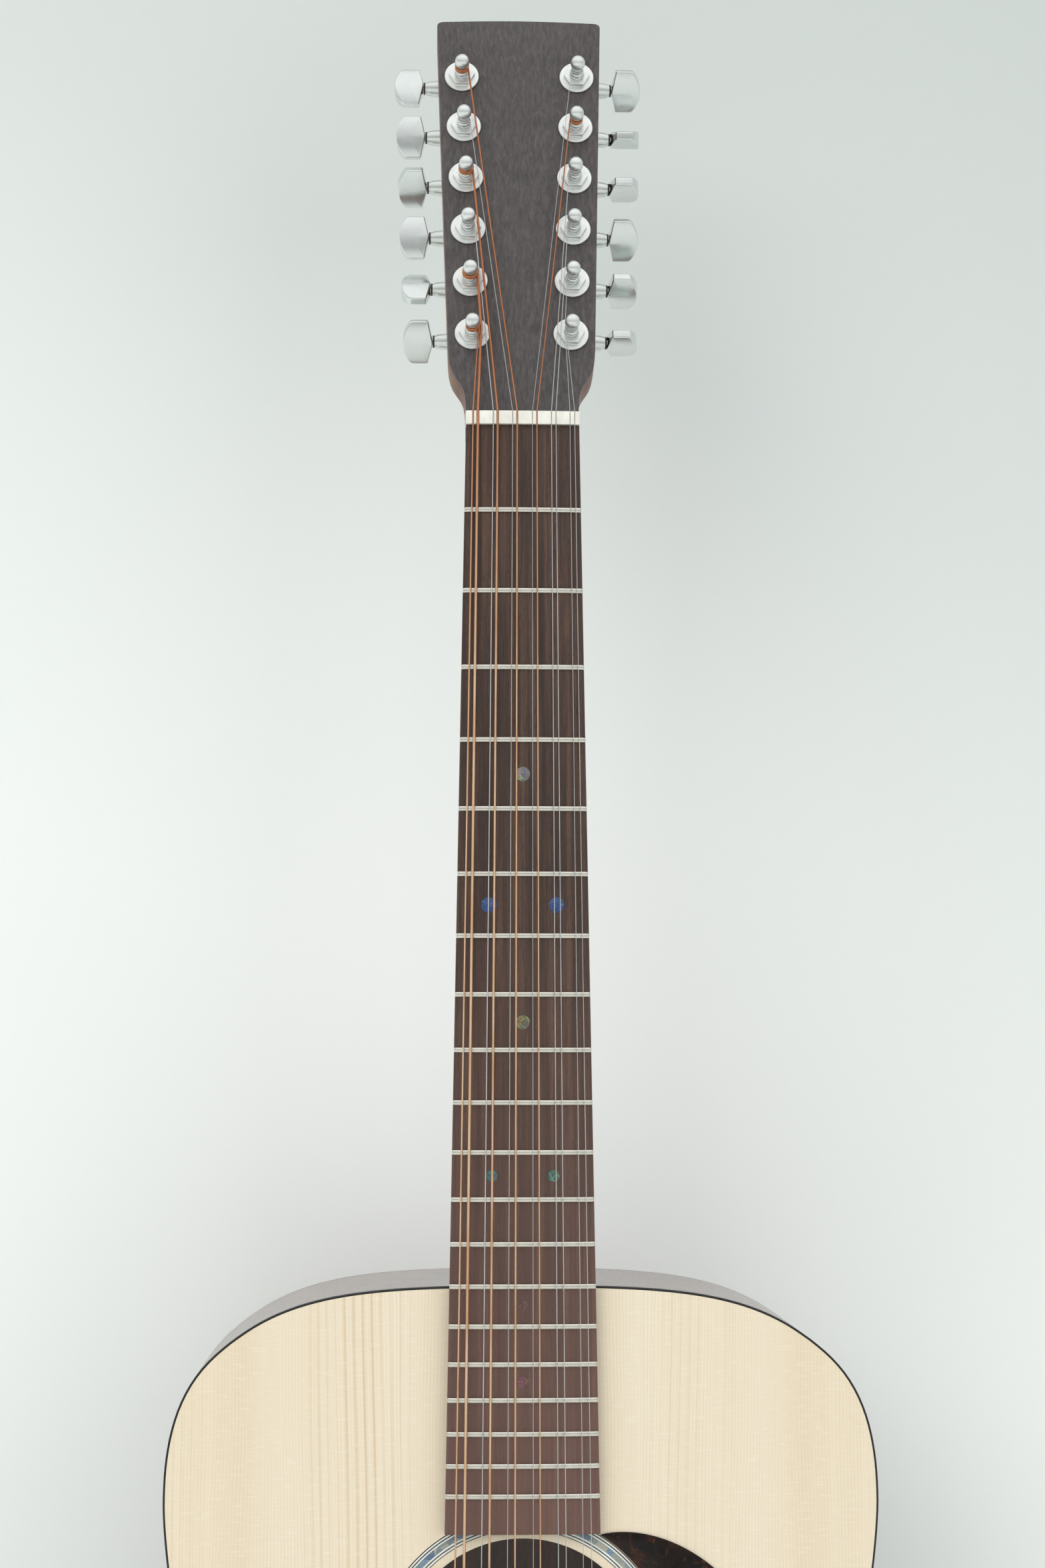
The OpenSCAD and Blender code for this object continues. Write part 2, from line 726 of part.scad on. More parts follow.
// Edge of the pickguard from the fretboard's corner round to the soundhole's lower side
guard_edge = concat(
    curve([[31.8, 52.3], [56, 58], [92, 40], [102, 0]], 10),
    curve([[102, 0], [108, -24], [111, -62], [103, -88]], 6),
    curve([[103, -88], [97, -108], [80, -113], [66, -101]], 8),
    curve([[66, -101], [52, -89], [40, -70], [27.5, -54.6]], 6),
    [for (a = [-63:6:57]) guard_inner * [cos(a), sin(a)]]
);
module pickguard() {
    color("#2a1712") difference() {
        prism(top_face - guard_t, top_face - 0.02) translate([0, -hole_s]) polygon(guard_edge);
        block([-board_half(board_len), -5, -board_len - 0.3], [board_half(board_len) + 0.3, 20, 0]);
        prism(0, 20) translate([0, -hole_s]) circle(r = guard_inner, $fn = 180);
    }
}

bridge_front = top_face - bridge_t;
wing = 3.4;
bridge_up = 11;
belly = 29;
saddle_half = 1.6;
saddle_len = 38;
slot_deep = 6;
module bridge_holes(i) {
    y_bar(pin_x(i), -pin_s(i), 2.45, bridge_front - 1, board_under + 10, 24);
    y_bar(pin_x(i), -(pin_s(i) - string_slot), 1.15, bridge_front - 1, board_under + 10, 16);
}
module saddle_bar(gap, y_front, y_back) {
    prism(y_front, y_back) translate([0, -saddle_s]) rotate(saddle_slant)
        square([2 * (saddle_len + gap), 2 * (saddle_half + gap)], center = true);
}
module bridge() {
    edge = concat(
        curve([[0, bridge_up], [50, bridge_up]], 1),
        curve([[50, bridge_up], [62, bridge_up], [bridge_half - 3, 6], [bridge_half, 0]], 6),
        curve([[bridge_half, 0], [bridge_half, -9], [bridge_half - 3, -16], [bridge_half - 12, -16]], 6),
        curve([[bridge_half - 12, -16], [46, -16], [34, -belly], [0, -belly]], 10),
        [[0, -belly]]
    );
    color("#3a2a26") difference() {
        intersection() {
            prism(bridge_front, top_face - 0.02) translate([0, -saddle_s]) polygon(closed_half(edge));
            translate([0, 0, -saddle_s - 60]) linear_extrude(height = 120) polygon([
                [-bridge_half, top_face + 1], [-bridge_half, top_face - wing],
                [-58, top_face - wing - 1.2], [-47, bridge_front], [47, bridge_front],
                [58, top_face - wing - 1.2], [bridge_half, top_face - wing], [bridge_half, top_face + 1]
            ]);
        }
        saddle_bar(fit, bridge_front - 1, bridge_front + slot_deep);
        for (i = [0:11]) bridge_holes(i);
    }
}

module saddle() {
    color("ivory") intersection() {
        saddle_bar(0, -20, bridge_front + slot_deep - fit);
        translate([0, crown_r - saddle_rise, -saddle_s - 30]) cylinder(r = crown_r, h = 60, $fn = 720);
    }
}

module bridge_pins() {
    color("#1a1818") for (i = [0:11]) translate([pin_x(i), bridge_front, -pin_s(i)])
        rotate([-90, 0, 0]) rotate_extrude($fn = 32) polygon([
            [0, -2.6], [1.6, -2.5], [3, -1.9], [3.7, -1], [3.6, -0.3], [2.9, -0.05], [2.4, -0.05],
            [2.4, 12], [1.9, 19], [1.2, 20], [0, 20]
        ]);
}

// ---------- tuners ----------
cavity_front = worm_depth - 1.5;
wheel_half = 0.9;
wheel_pitch_r = wheel_teeth * gear_module / 2;
worm_pitch = PI * gear_module;
worm_half = 4;
screw_reach = 9.4;
ear_r = 3;
case_r = 6.9;
barrel_r = 5;
screw_r = 1.1;
screw_bite = 7;
snout_end = 15;
// The housing is one casting round the cavity of the worm and its wheel
module tuner_housing() {
    difference() {
        union() {
            intersection() {
                union() {
                    post_bar(case_r, head_t + 0.02, housing_back, 48);
                    knob_bar(barrel_r, -6.8, 6.4, 48);
                    translate([6.4, worm_depth, gear_centre]) rotate([0, 90, 0])
                        cylinder(r1 = 4.2, r2 = 3.1, h = snout_end - 6.4, $fn = 48);
                    knob_bar(2.75, snout_end - 1, snout_end + 0.9);
                    block([-ear_r, head_t + 0.02, -screw_reach], [ear_r, head_t + 2.2, 0]);
                    translate([0, 0, -screw_reach]) post_bar(ear_r, head_t + 0.02, head_t + 2.2);
                }
                block([-20, head_t + 0.02, -30], [20, 40, 30]);
            }
            post_bar(bushing_hole - fit, head_t - 7, head_t + 1);
        }
        post_bar(bushing_r + fit, 0, head_t + 0.5);
        post_bar(post_r + running, 0, cavity_front + 0.5);
        post_bar(wheel_pitch_r + 0.85, cavity_front, worm_depth + 1.5, 48);
        knob_bar(3, -worm_half - 0.3, worm_half + 0.3);
        knob_bar(1.3 + running, -worm_half - 2, worm_half);
        knob_bar(1.9 + running, worm_half, 20);
        post_bar(1.5 + running, worm_depth, housing_back - 1.4);
        translate([0, 0, -screw_reach]) post_bar(screw_r + running, head_t - 1, head_t + 5, 16);
    }
}
module tuner_housings() {
    color("#c9cccb") for (i = [0:11]) at_tuner(i) tuner_housing();
}

washer_r = 7.5;
washer_t = 1.2;
hex_top = 3.3;
module tuner_bushing() {
    difference() {
        union() {
            post_bar(washer_r, -washer_t, -0.02, 48);
            y_bar(0, 0, 5.8, -hex_top, -washer_t + 0.2, 6);
            post_bar(bushing_r, -washer_t, head_t - 4);
        }
        post_bar(post_r + running, -hex_top - 1, head_t);
    }
}
module tuner_bushings() {
    color("#d3d6d5") for (i = [0:11]) at_tuner(i) tuner_bushing();
}

module tuner_screws() {
    color("#b9bcbb") for (i = [0:11]) at_tuner(i) translate([0, 0, -screw_reach]) {
        post_bar(screw_r, head_t - screw_bite, head_t + 2.24, 16);
        post_bar(2.1, head_t + 2.22, head_t + 3.2, 24);
    }
}

// A knob with its worm, turning about local x. Its two faces are crowned across its width.
knob_from = 16.8;
knob_to = 29.6;
knob_half = 9.45;
knob_shoulder = 1.95;
knob_point = 0.6;
knob_mid = 3.4;
knob_edge = 1.65;
knob_crown_r = (knob_half * knob_half + pow(knob_mid - knob_edge, 2)) / (2 * (knob_mid - knob_edge));
edge_r = 14.8;
module knob_outline() {
    intersection() {
        translate([knob_to - edge_r, 0]) circle(r = edge_r, $fn = 72);
        polygon([
            [knob_from, -knob_point], [knob_from + knob_shoulder, -knob_half], [knob_to, -knob_half],
            [knob_to, knob_half], [knob_from + knob_shoulder, knob_half], [knob_from, knob_point]
        ]);
    }
}
module crown_bar(side) {
    translate([0, 0, side * (knob_mid - knob_crown_r)]) rotate([0, 90, 0])
        cylinder(r = knob_crown_r, h = knob_to + 5, $fn = 180);
}
module knob_grip() {
    intersection() {
        linear_extrude(height = 2 * knob_mid, center = true) knob_outline();
        crown_bar(1);
        crown_bar(-1);
    }
}
module worm() {
    steps = 9;
    turns = 2 * worm_half / worm_pitch;
    eccentric = 0.65;
    translate([-worm_half, worm_depth, gear_centre]) rotate([0, 90, 0]) rotate(180 - turns * 180)
        linear_extrude(height = 2 * worm_half, twist = -360 * turns, slices = ceil(turns * steps))
            translate([eccentric, 0]) circle(r = 2.15, $fn = 8);
}
// How far each knob is turned at rest, from facing the way the headstock does
knob_turn = [44, -28, 14, 61, 16, -5, 92, 75, 51, 96, 110, 51];
module tuner_knob(i) {
    at_tuner(i) {
        color("#c4c8c7") translate([0, worm_depth, gear_centre]) rotate([90 + knob_turn[i], 0, 0])
            difference() {
                knob_grip();
                translate([knob_from - 1, 0, 0]) rotate([0, 90, 0])
                    cylinder(r = 1.5 + fit, h = knob_to - knob_from - 3, $fn = 24);
            }
        color("#b5b8b7") {
            worm();
            knob_bar(1.3, -worm_half - 1.8, -worm_half + 0.1, 24);
            knob_bar(1.9, worm_half - 0.1, knob_from - 0.9, 24);
            knob_bar(1.5, knob_from - 1, knob_to - 4.2, 24);
        }
        color("#202020") difference() {
            knob_bar(2.7, knob_from - 0.85, knob_from - 0.1);
            knob_bar(1.5 + fit, knob_from - 2, knob_from + 1);
        }
    }
}

// A post with its worm wheel and the turns of its string, turning about local y
module wheel() {
    tip = wheel_pitch_r + 0.45;
    root = wheel_pitch_r - 0.5;
    translate([0, worm_depth + wheel_half, 0]) rotate([90, 0, 0])
        linear_extrude(height = 2 * wheel_half) union() {
            circle(r = root, $fn = 56);
            for (k = [0:wheel_teeth - 1]) rotate(90 + k * 360 / wheel_teeth)
                polygon([[root - 0.3, -0.5], [root, -0.46], [tip, -0.15], [tip, 0.15], [root, 0.46],
                    [root - 0.3, 0.5]]);
        }
}
base_top = 6;
neck_top = 10.4;
cap_r = 3.1;
module tuner_post(i) {
    r = string_r[string_tuner(i)];
    wraps = min(4, floor((neck_top - string_on_post - r) / (2 * r + 0.06)));
    at_tuner(i) color("#cfd2d1") {
        rotate([90, 0, 0]) {
            rotate_extrude($fn = 48) polygon([
                [0, -worm_depth - wheel_half], [post_r, -worm_depth - wheel_half], [post_r, base_top],
                [waist_r, base_top + 0.3], [waist_r, neck_top], [cap_r - 0.1, neck_top + 1.1],
                [cap_r, neck_top + 2], [cap_r - 0.3, neck_top + 3.2], [cap_r - 1, neck_top + 4.2],
                [cap_r - 2, post_h - 0.15], [0, post_h]
            ]);
        }
        wheel();
        post_bar(1.5, worm_depth, housing_back - 1.6, 24);
        if (wraps > 0) for (k = [1:wraps])
            translate([0, -string_on_post - k * (2 * r + 0.06), 0]) rotate([90, 0, 0])
                rotate_extrude($fn = 32) translate([waist_r + r + fit, 0]) circle(r = r, $fn = 16);
    }
}

module string_bar(i) {
    swept_bar(string_route(i), string_r[i]);
}
module wound_strings() {
    color("#c98f62") for (i = wound) string_bar(i);
}
module plain_strings() {
    color("silver") for (i = plain) string_bar(i);
}

neck();
heel();
headstock();
headplate();
fretboard();
frets();
position_dots();
nut();
truss_rod();
heel_cap();
soundboard();
sides();
back();
top_binding();
linings();
neck_block();
tail_block();
x_brace();
upper_braces();
tone_bars();
finger_braces();
bridge_plate();
back_braces();
rosette_black();
rosette_white();
rosette_shell();
pickguard();
bridge();
saddle();
bridge_pins();
end_pin();
tuner_housings();
tuner_bushings();
tuner_screws();
wound_strings();
plain_strings();
tuner_knob(0);  // tuner_knob_01
tuner_knob(1);  // tuner_knob_02
tuner_knob(2);  // tuner_knob_03
tuner_knob(3);  // tuner_knob_04
tuner_knob(4);  // tuner_knob_05
tuner_knob(5);  // tuner_knob_06
tuner_knob(6);  // tuner_knob_07
tuner_knob(7);  // tuner_knob_08
tuner_knob(8);  // tuner_knob_09
tuner_knob(9);  // tuner_knob_10
tuner_knob(10);  // tuner_knob_11
tuner_knob(11);  // tuner_knob_12
tuner_post(0);  // tuner_post_01
tuner_post(1);  // tuner_post_02
tuner_post(2);  // tuner_post_03
tuner_post(3);  // tuner_post_04
tuner_post(4);  // tuner_post_05
tuner_post(5);  // tuner_post_06
tuner_post(6);  // tuner_post_07
tuner_post(7);  // tuner_post_08
tuner_post(8);  // tuner_post_09
tuner_post(9);  // tuner_post_10
tuner_post(10);  // tuner_post_11
tuner_post(11);  // tuner_post_12
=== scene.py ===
"""Looks of a twelve-string acoustic guitar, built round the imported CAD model.

Lengths in this script are millimetres, and every mesh is scaled to metres as it is made.
"""
import json
import math

import bmesh
import bpy
from mathutils import Matrix, Vector


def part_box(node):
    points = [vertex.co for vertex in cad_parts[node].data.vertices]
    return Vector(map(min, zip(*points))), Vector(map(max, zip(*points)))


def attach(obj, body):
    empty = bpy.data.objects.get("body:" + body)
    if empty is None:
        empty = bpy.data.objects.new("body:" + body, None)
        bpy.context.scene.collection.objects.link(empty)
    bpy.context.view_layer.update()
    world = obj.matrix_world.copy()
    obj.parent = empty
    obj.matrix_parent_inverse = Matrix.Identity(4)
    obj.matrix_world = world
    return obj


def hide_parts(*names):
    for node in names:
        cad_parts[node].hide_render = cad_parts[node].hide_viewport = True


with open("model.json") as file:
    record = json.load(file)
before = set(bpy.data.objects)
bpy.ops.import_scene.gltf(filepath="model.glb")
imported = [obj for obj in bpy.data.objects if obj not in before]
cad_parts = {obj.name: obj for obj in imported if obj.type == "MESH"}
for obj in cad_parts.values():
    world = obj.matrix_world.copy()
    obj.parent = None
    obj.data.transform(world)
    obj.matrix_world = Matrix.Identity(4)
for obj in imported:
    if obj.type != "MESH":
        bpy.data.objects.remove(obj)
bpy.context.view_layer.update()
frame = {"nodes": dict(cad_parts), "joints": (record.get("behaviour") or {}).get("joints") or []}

MM = 0.001
NODES = frame["nodes"]
JOINTS = {j["name"]: j for j in frame["joints"]}


def low(node):
    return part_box(node)[0] / MM


def high(node):
    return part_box(node)[1] / MM


def vertices_of(node):
    return [v.co / MM for v in NODES[node].data.vertices]


# ---------- the frame's own measures ----------
top_face = low("soundboard").y
board_under = high("soundboard").y
body_top = high("soundboard").z + (high("top_binding").x - high("soundboard").x)
tail = low("top_binding").z
body_centre = (body_top + tail) / 2
bind_inset = high("top_binding").x - high("soundboard").x
bind_back = high("top_binding").y
shell_mid = (low("rosette_shell") + high("rosette_shell")) / 2
hole_z = shell_mid.z
nut_z = high("nut").z
tilt_axis = JOINTS["post_spin_01"]["axis"]
head_tilt = math.atan2(tilt_axis[2], -tilt_axis[1])
UP_HEAD = Vector((0, math.sin(head_tilt), math.cos(head_tilt)))
OUT_OF_HEAD = Vector((0, -math.cos(head_tilt), math.sin(head_tilt)))
TUNERS = ["%02d" % n for n in range(1, 13)]


def post_foot(tuner):
    """Where a tuner's post passes the headstock's face."""
    return Vector(JOINTS["post_spin_" + tuner]["pos_m"]) / MM


# ---------- mesh helpers ----------
def crisp(mesh, degrees):
    """Smooth shading, with the edges sharper than this angle left sharp."""
    work = bmesh.new()
    work.from_mesh(mesh)
    bmesh.ops.recalc_face_normals(work, faces=work.faces)
    for face in work.faces:
        face.smooth = True
    for edge in work.edges:
        edge.smooth = edge.calc_face_angle(0) < math.radians(degrees)
    work.to_mesh(mesh)
    work.free()


def piece(name, points, faces, material, body="root", stands_for=(), slot=None, degrees=32):
    mesh = bpy.data.meshes.new(name)
    mesh.from_pydata([Vector(p) * MM for p in points], [], faces)
    mesh.validate()
    crisp(mesh, degrees)
    made = bpy.data.objects.new(name, mesh)
    bpy.context.scene.collection.objects.link(made)
    mesh.materials.append(material)
    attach(made, body)
    if stands_for:
        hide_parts(*stands_for)
    return made


def strip(loops, ring=False, caps=False, start=0):
    """Faces between loops that all have the same number of points."""
    count = len(loops[0])
    faces = []
    for i in range(len(loops) if ring else len(loops) - 1):
        a, b = start + i * count, start + (i + 1) % len(loops) * count
        for k in range(count):
            m = (k + 1) % count
            faces.append((a + k, a + m, b + m, b + k))
    if caps:
        faces.append(tuple(start + k for k in range(count)))
        faces.append(tuple(start + (len(loops) - 1) * count + k for k in reversed(range(count))))
    return faces


def looped(name, loops, material, ring=False, caps=False, **options):
    points = [p for loop in loops for p in loop]
    return piece(name, points, strip(loops, ring, caps), material, **options)


def tube(path, radius, sides=12):
    """Loops of a round bar along a path; radius is a number or one for each point."""
    path = [Vector(p) for p in path]
    loops = []
    side = None
    for i, point in enumerate(path):
        ahead = path[min(i + 1, len(path) - 1)] - path[max(i - 1, 0)]
        ahead.normalize()
        if side is None:
            side = ahead.orthogonal()
        side = (side - ahead * side.dot(ahead)).normalized()
        up = ahead.cross(side)
        r = radius[i] if isinstance(radius, (list, tuple)) else radius
        loops.append([point + r * (math.cos(a) * side + math.sin(a) * up)
                      for a in (2 * math.pi * k / sides for k in range(sides))])
    return loops


def turned(profile, foot, axis, steps=48):
    """Loops of a round piece: profile is a list of (radius, height along the axis)."""
    side = axis.orthogonal().normalized()
    up = axis.cross(side)
    return [[foot + axis * h + r * (math.cos(a) * side + math.sin(a) * up)
             for a in (2 * math.pi * k / steps for k in range(steps))] for r, h in profile]


def joined(parts):
    """Several lists of loops as one list of points and faces, each closed at its ends."""
    points, faces = [], []
    for loops in parts:
        faces += strip(loops, caps=True, start=len(points))
        points += [p for loop in loops for p in loop]
    return points, faces


def mix(a, b, t):
    return a + (b - a) * t


def bezier(points, t):
    points = [Vector(p) for p in points]
    while len(points) > 1:
        points = [mix(a, b, t) for a, b in zip(points, points[1:])]
    return points[0]


# ---------- materials ----------
def srgb(r, g, b):
    def linear(c):
        c /= 255
        return c / 12.92 if c <= 0.04045 else ((c + 0.055) / 1.055) ** 2.4
    return (linear(r), linear(g), linear(b), 1.0)


class Surface:
    """A node material. Its methods add nodes and return their output sockets."""

    def __init__(self, name, colour=(128, 128, 128), rough=0.5, **fixed):
        self.material = bpy.data.materials.new(name)
        self.material.use_nodes = True
        self.tree = self.material.node_tree
        self.shader = self.tree.nodes["Principled BSDF"]
        self.shader.inputs["Base Color"].default_value = srgb(*colour)
        self.shader.inputs["Roughness"].default_value = rough
        for key, value in fixed.items():
            self.shader.inputs[key.replace("_", " ")].default_value = value
        self.place = self.node("ShaderNodeTexCoord").outputs["Object"]

    def node(self, kind, inputs=None, **settings):
        made = self.tree.nodes.new(kind)
        for key, value in settings.items():
            setattr(made, key, value)
        for key, value in (inputs or {}).items():
            if isinstance(value, bpy.types.NodeSocket):
                self.tree.links.new(value, made.inputs[key])
            else:
                made.inputs[key].default_value = value
        return made

    def stretched(self, x, y, z, source=None):
        """Coordinates whose unit is x, y and z millimetres long."""
        scale = (1 / (x * MM), 1 / (y * MM), 1 / (z * MM))
        mapping = self.node("ShaderNodeMapping", {"Vector": source or self.place, "Scale": scale})
        return mapping.outputs["Vector"]

    def noise(self, vector, detail=3.0, rough=0.5, warp=0.0):
        inputs = {"Vector": vector, "Scale": 1.0, "Detail": detail, "Roughness": rough, "Distortion": warp}
        return self.node("ShaderNodeTexNoise", inputs).outputs["Fac"]

    def cells(self, vector, output="Color", **settings):
        return self.node("ShaderNodeTexVoronoi", {"Vector": vector, "Scale": 1.0}, **settings).outputs[output]

    def ramp(self, factor, *stops):
        made = self.node("ShaderNodeValToRGB", {"Fac": factor})
        ramp = made.color_ramp
        while len(ramp.elements) < len(stops):
            ramp.elements.new(0.5)
        for element, (place, colour) in zip(ramp.elements, stops):
            element.position = place
            element.color = srgb(*colour) if len(colour) == 3 else (colour[0],) * 3 + (1.0,)
        return made.outputs["Color"]

    def blend(self, factor, a, b, kind="MIX"):
        made = self.node("ShaderNodeMix", data_type="RGBA", blend_type=kind)
        for index, value in ((0, factor), (6, a), (7, b)):
            if isinstance(value, bpy.types.NodeSocket):
                self.tree.links.new(value, made.inputs[index])
            else:
                made.inputs[index].default_value = value
        return made.outputs[2]

    def maths(self, operation, a, b=0.0):
        return self.node("ShaderNodeMath", {0: a, 1: b}, operation=operation).outputs[0]

    def span(self, value, low_in, high_in, low_out, high_out):
        inputs = {"Value": value, "From Min": low_in, "From Max": high_in,
                  "To Min": low_out, "To Max": high_out}
        return self.node("ShaderNodeMapRange", inputs).outputs["Result"]

    def colour(self, socket):
        self.tree.links.new(socket, self.shader.inputs["Base Color"])

    def rough(self, value, smoothest, roughest):
        self.tree.links.new(self.span(value, 0.3, 0.7, smoothest, roughest), self.shader.inputs["Roughness"])

    def bump(self, height, depth, strength=1.0):
        """Relief of a height that goes from 0 to 1, depth millimetres deep."""
        made = self.node("ShaderNodeBump", {"Height": height, "Strength": strength, "Distance": depth * MM})
        self.tree.links.new(made.outputs["Normal"], self.shader.inputs["Normal"])


def spruce():
    """Bookmatched spruce: fine rings along the grain, darker streaks and a little cross silk."""
    s = Surface("spruce", rough=0.42, Coat_Weight=0.12, Coat_Roughness=0.3)
    parts = s.node("ShaderNodeSeparateXYZ", {"Vector": s.place}).outputs
    half = s.maths("ABSOLUTE", parts["X"])
    halves = s.node("ShaderNodeCombineXYZ", {"X": half, "Y": parts["Y"], "Z": parts["Z"]}).outputs["Vector"]
    sway = s.noise(s.stretched(60, 60, 260, halves), detail=2)
    across = s.maths("ADD", half, s.maths("MULTIPLY", sway, 0.012))
    spacing = 1.35
    rings = s.maths("FRACT", s.maths("MULTIPLY", across, 1 / (spacing * MM)))
    strength = s.noise(s.stretched(7, 7, 400, halves), detail=2)
    line = s.ramp(rings, (0.0, (0.1,)), (0.55, (0.0,)), (0.86, (0.75,)), (1.0, (1.0,)))
    late = s.maths("MULTIPLY", line, s.span(strength, 0.3, 0.7, 0.08, 0.6))
    tone = s.noise(s.stretched(22, 22, 900, halves), detail=3)
    early = s.ramp(tone, (0.3, (236, 225, 204)), (0.5, (233, 220, 197)), (0.7, (229, 213, 187)))
    wood = s.blend(late, early, srgb(216, 196, 162))
    inner = s.ramp(half, (0.042, (0.0,)), (0.06, (1.0,)), (0.078, (0.8,)), (0.094, (0.0,)),
                   (0.128, (0.0,)), (0.15, (0.7,)), (0.168, (0.6,)), (0.18, (0.1,)))
    left = s.span(parts["X"], -0.02, 0.02, 1.0, 0.35)
    wide = s.maths("FRACT", s.maths("MULTIPLY", across, 1 / (3.7 * MM)))
    broad = s.ramp(wide, (0.0, (0.3,)), (0.12, (0.0,)), (0.6, (0.0,)), (0.9, (1.0,)), (1.0, (0.3,)))
    streaks = s.span(s.noise(s.stretched(5, 5, 1500, halves), detail=2), 0.38, 0.6, 0.3, 1.0)
    band = s.maths("MULTIPLY", s.maths("MULTIPLY", inner, left), s.maths("MULTIPLY", broad, streaks))
    wood = s.blend(s.maths("MULTIPLY", band, 0.75), wood, srgb(208, 176, 136))
    silk = s.noise(s.stretched(7, 7, 0.9, halves), detail=3, rough=0.6)
    wood = s.blend(s.span(silk, 0.52, 0.75, 0.0, 0.3), wood, srgb(250, 243, 228))
    fibre = s.noise(s.stretched(0.16, 0.16, 14), detail=2)
    wood = s.blend(s.span(fibre, 0.4, 0.8, 0.0, 0.1), wood, srgb(190, 160, 120))
    s.colour(wood)
    s.rough(silk, 0.38, 0.5)
    s.bump(s.maths("ADD", s.maths("MULTIPLY", line, 0.5), s.maths("MULTIPLY", fibre, 0.4)), 0.02)
    return s.material


def wood(name, dark, mid, light, rough=0.45, figure=(5, 260), grain=(0.35, 22), pores=0.5, coat=0.0,
         depth=0.03,
         paler=None):
    """Straight-grained wood along Z. figure and grain are the width and length of the streaks.
    paler is a colour that the wood takes on, by up to a third, from the nut down."""
    s = Surface(name, mid, rough, Coat_Weight=coat, Coat_Roughness=0.25)
    broad = s.noise(s.stretched(figure[0], figure[0], figure[1]), detail=4, rough=0.55, warp=0.4)
    fine = s.noise(s.stretched(grain[0], grain[0], grain[1]), detail=3, rough=0.6)
    tone = s.maths("ADD", s.maths("MULTIPLY", broad, 0.6), s.maths("MULTIPLY", fine, 0.4))
    colour = s.ramp(tone, (0.36, dark), (0.5, mid), (0.64, light))
    pore = s.noise(s.stretched(0.22, 0.22, 3.2), detail=1)
    pit = s.span(pore, 0.6, 0.7, 0.0, 1.0)
    darker = tuple(int(c * 0.55) for c in dark)
    colour = s.blend(s.maths("MULTIPLY", pit, pores), colour, srgb(*darker))
    if paler:
        along = s.node("ShaderNodeSeparateXYZ", {"Vector": s.place}).outputs["Z"]
        colour = s.blend(s.span(along, -0.2, -0.46, 0.0, 0.36), colour, srgb(*paler))
    s.colour(colour)
    s.rough(fine, rough - 0.06, rough + 0.08)
    s.bump(s.maths("SUBTRACT", s.maths("MULTIPLY", fine, 0.4), s.maths("MULTIPLY", pit, pores)), depth)
    return s.material


def metal(name, colour, rough, spread=0.05, grain=0.25, relief=0.002, mottle=0.05):
    """Plated metal: its gloss varies in small clouds, and it has a faint orange-peel skin."""
    s = Surface(name, colour, rough, Metallic=1.0)
    cloud = s.noise(s.stretched(4, 4, 4), detail=4, rough=0.6)
    skin = s.noise(s.stretched(grain, grain, grain), detail=2)
    tint = tuple(int(c * (1 - mottle)) for c in colour)
    s.colour(s.ramp(cloud, (0.35, tint), (0.65, colour)))
    s.rough(cloud, rough - spread, rough + spread)
    s.bump(skin, relief)
    return s.material


def wire(name, colour, shade, head, rough, pitch):
    """String wire: head is its colour past the nut, and the wound ones show their winding as rings."""
    s = Surface(name, colour, rough, Metallic=1.0)
    turn = s.node("ShaderNodeTexWave", {"Vector": s.stretched(1000, 1000, pitch * 3.2), "Scale": 1.0},
                  bands_direction="Z", wave_profile="SIN").outputs["Fac"]
    patch = s.noise(s.stretched(3, 3, 26), detail=4)
    worn = s.blend(s.span(patch, 0.4, 0.7, 0.0, 0.8), srgb(*colour), srgb(*shade))
    up = s.span(s.node("ShaderNodeSeparateXYZ", {"Vector": s.place}).outputs["Z"], -0.12, 0.03, 0.0, 1.0)
    s.colour(s.blend(up, worn, srgb(*head)))
    s.rough(patch, rough - 0.06, rough + 0.1)
    s.bump(turn, pitch * 0.1)
    return s.material


def plastic(name, colour, rough, mottle=0.06, coat=0.0, relief=0.004, **fixed):
    s = Surface(name, colour, rough, Coat_Weight=coat, Coat_Roughness=0.08, **fixed)
    cloud = s.noise(s.stretched(6, 6, 9), detail=4, rough=0.6)
    skin = s.noise(s.stretched(0.3, 0.3, 0.3), detail=2)
    deep = tuple(int(c * (1 - mottle)) for c in colour)
    pale = tuple(min(255, int(c * (1 + mottle * 0.6)) + 2) for c in colour)
    s.colour(s.ramp(cloud, (0.35, deep), (0.65, pale)))
    s.rough(cloud, rough - 0.05, rough + 0.07)
    s.bump(skin, relief)
    return s.material


def shell(name, piece_size, *tints):
    """Pearly shell: pieces of one tint each, with swirls of the next tint inside them."""
    s = Surface(name, tints[0], 0.2, Coat_Weight=0.6, Coat_Roughness=0.06)
    patch = s.cells(s.stretched(piece_size, piece_size, piece_size))
    pick = s.node("ShaderNodeSeparateColor", {"Color": patch}).outputs["Red"]
    swirl = s.noise(s.stretched(1.1, 1.1, 1.1), detail=4, rough=0.6, warp=1.6)
    tone = s.maths("ADD", s.maths("MULTIPLY", pick, 0.62), s.maths("MULTIPLY", swirl, 0.38))
    steps = [(0.12 + 0.76 * i / (len(tints) - 1), tint) for i, tint in enumerate(tints)]
    s.colour(s.ramp(tone, *steps))
    s.rough(swirl, 0.14, 0.3)
    s.bump(swirl, 0.01)
    return s.material


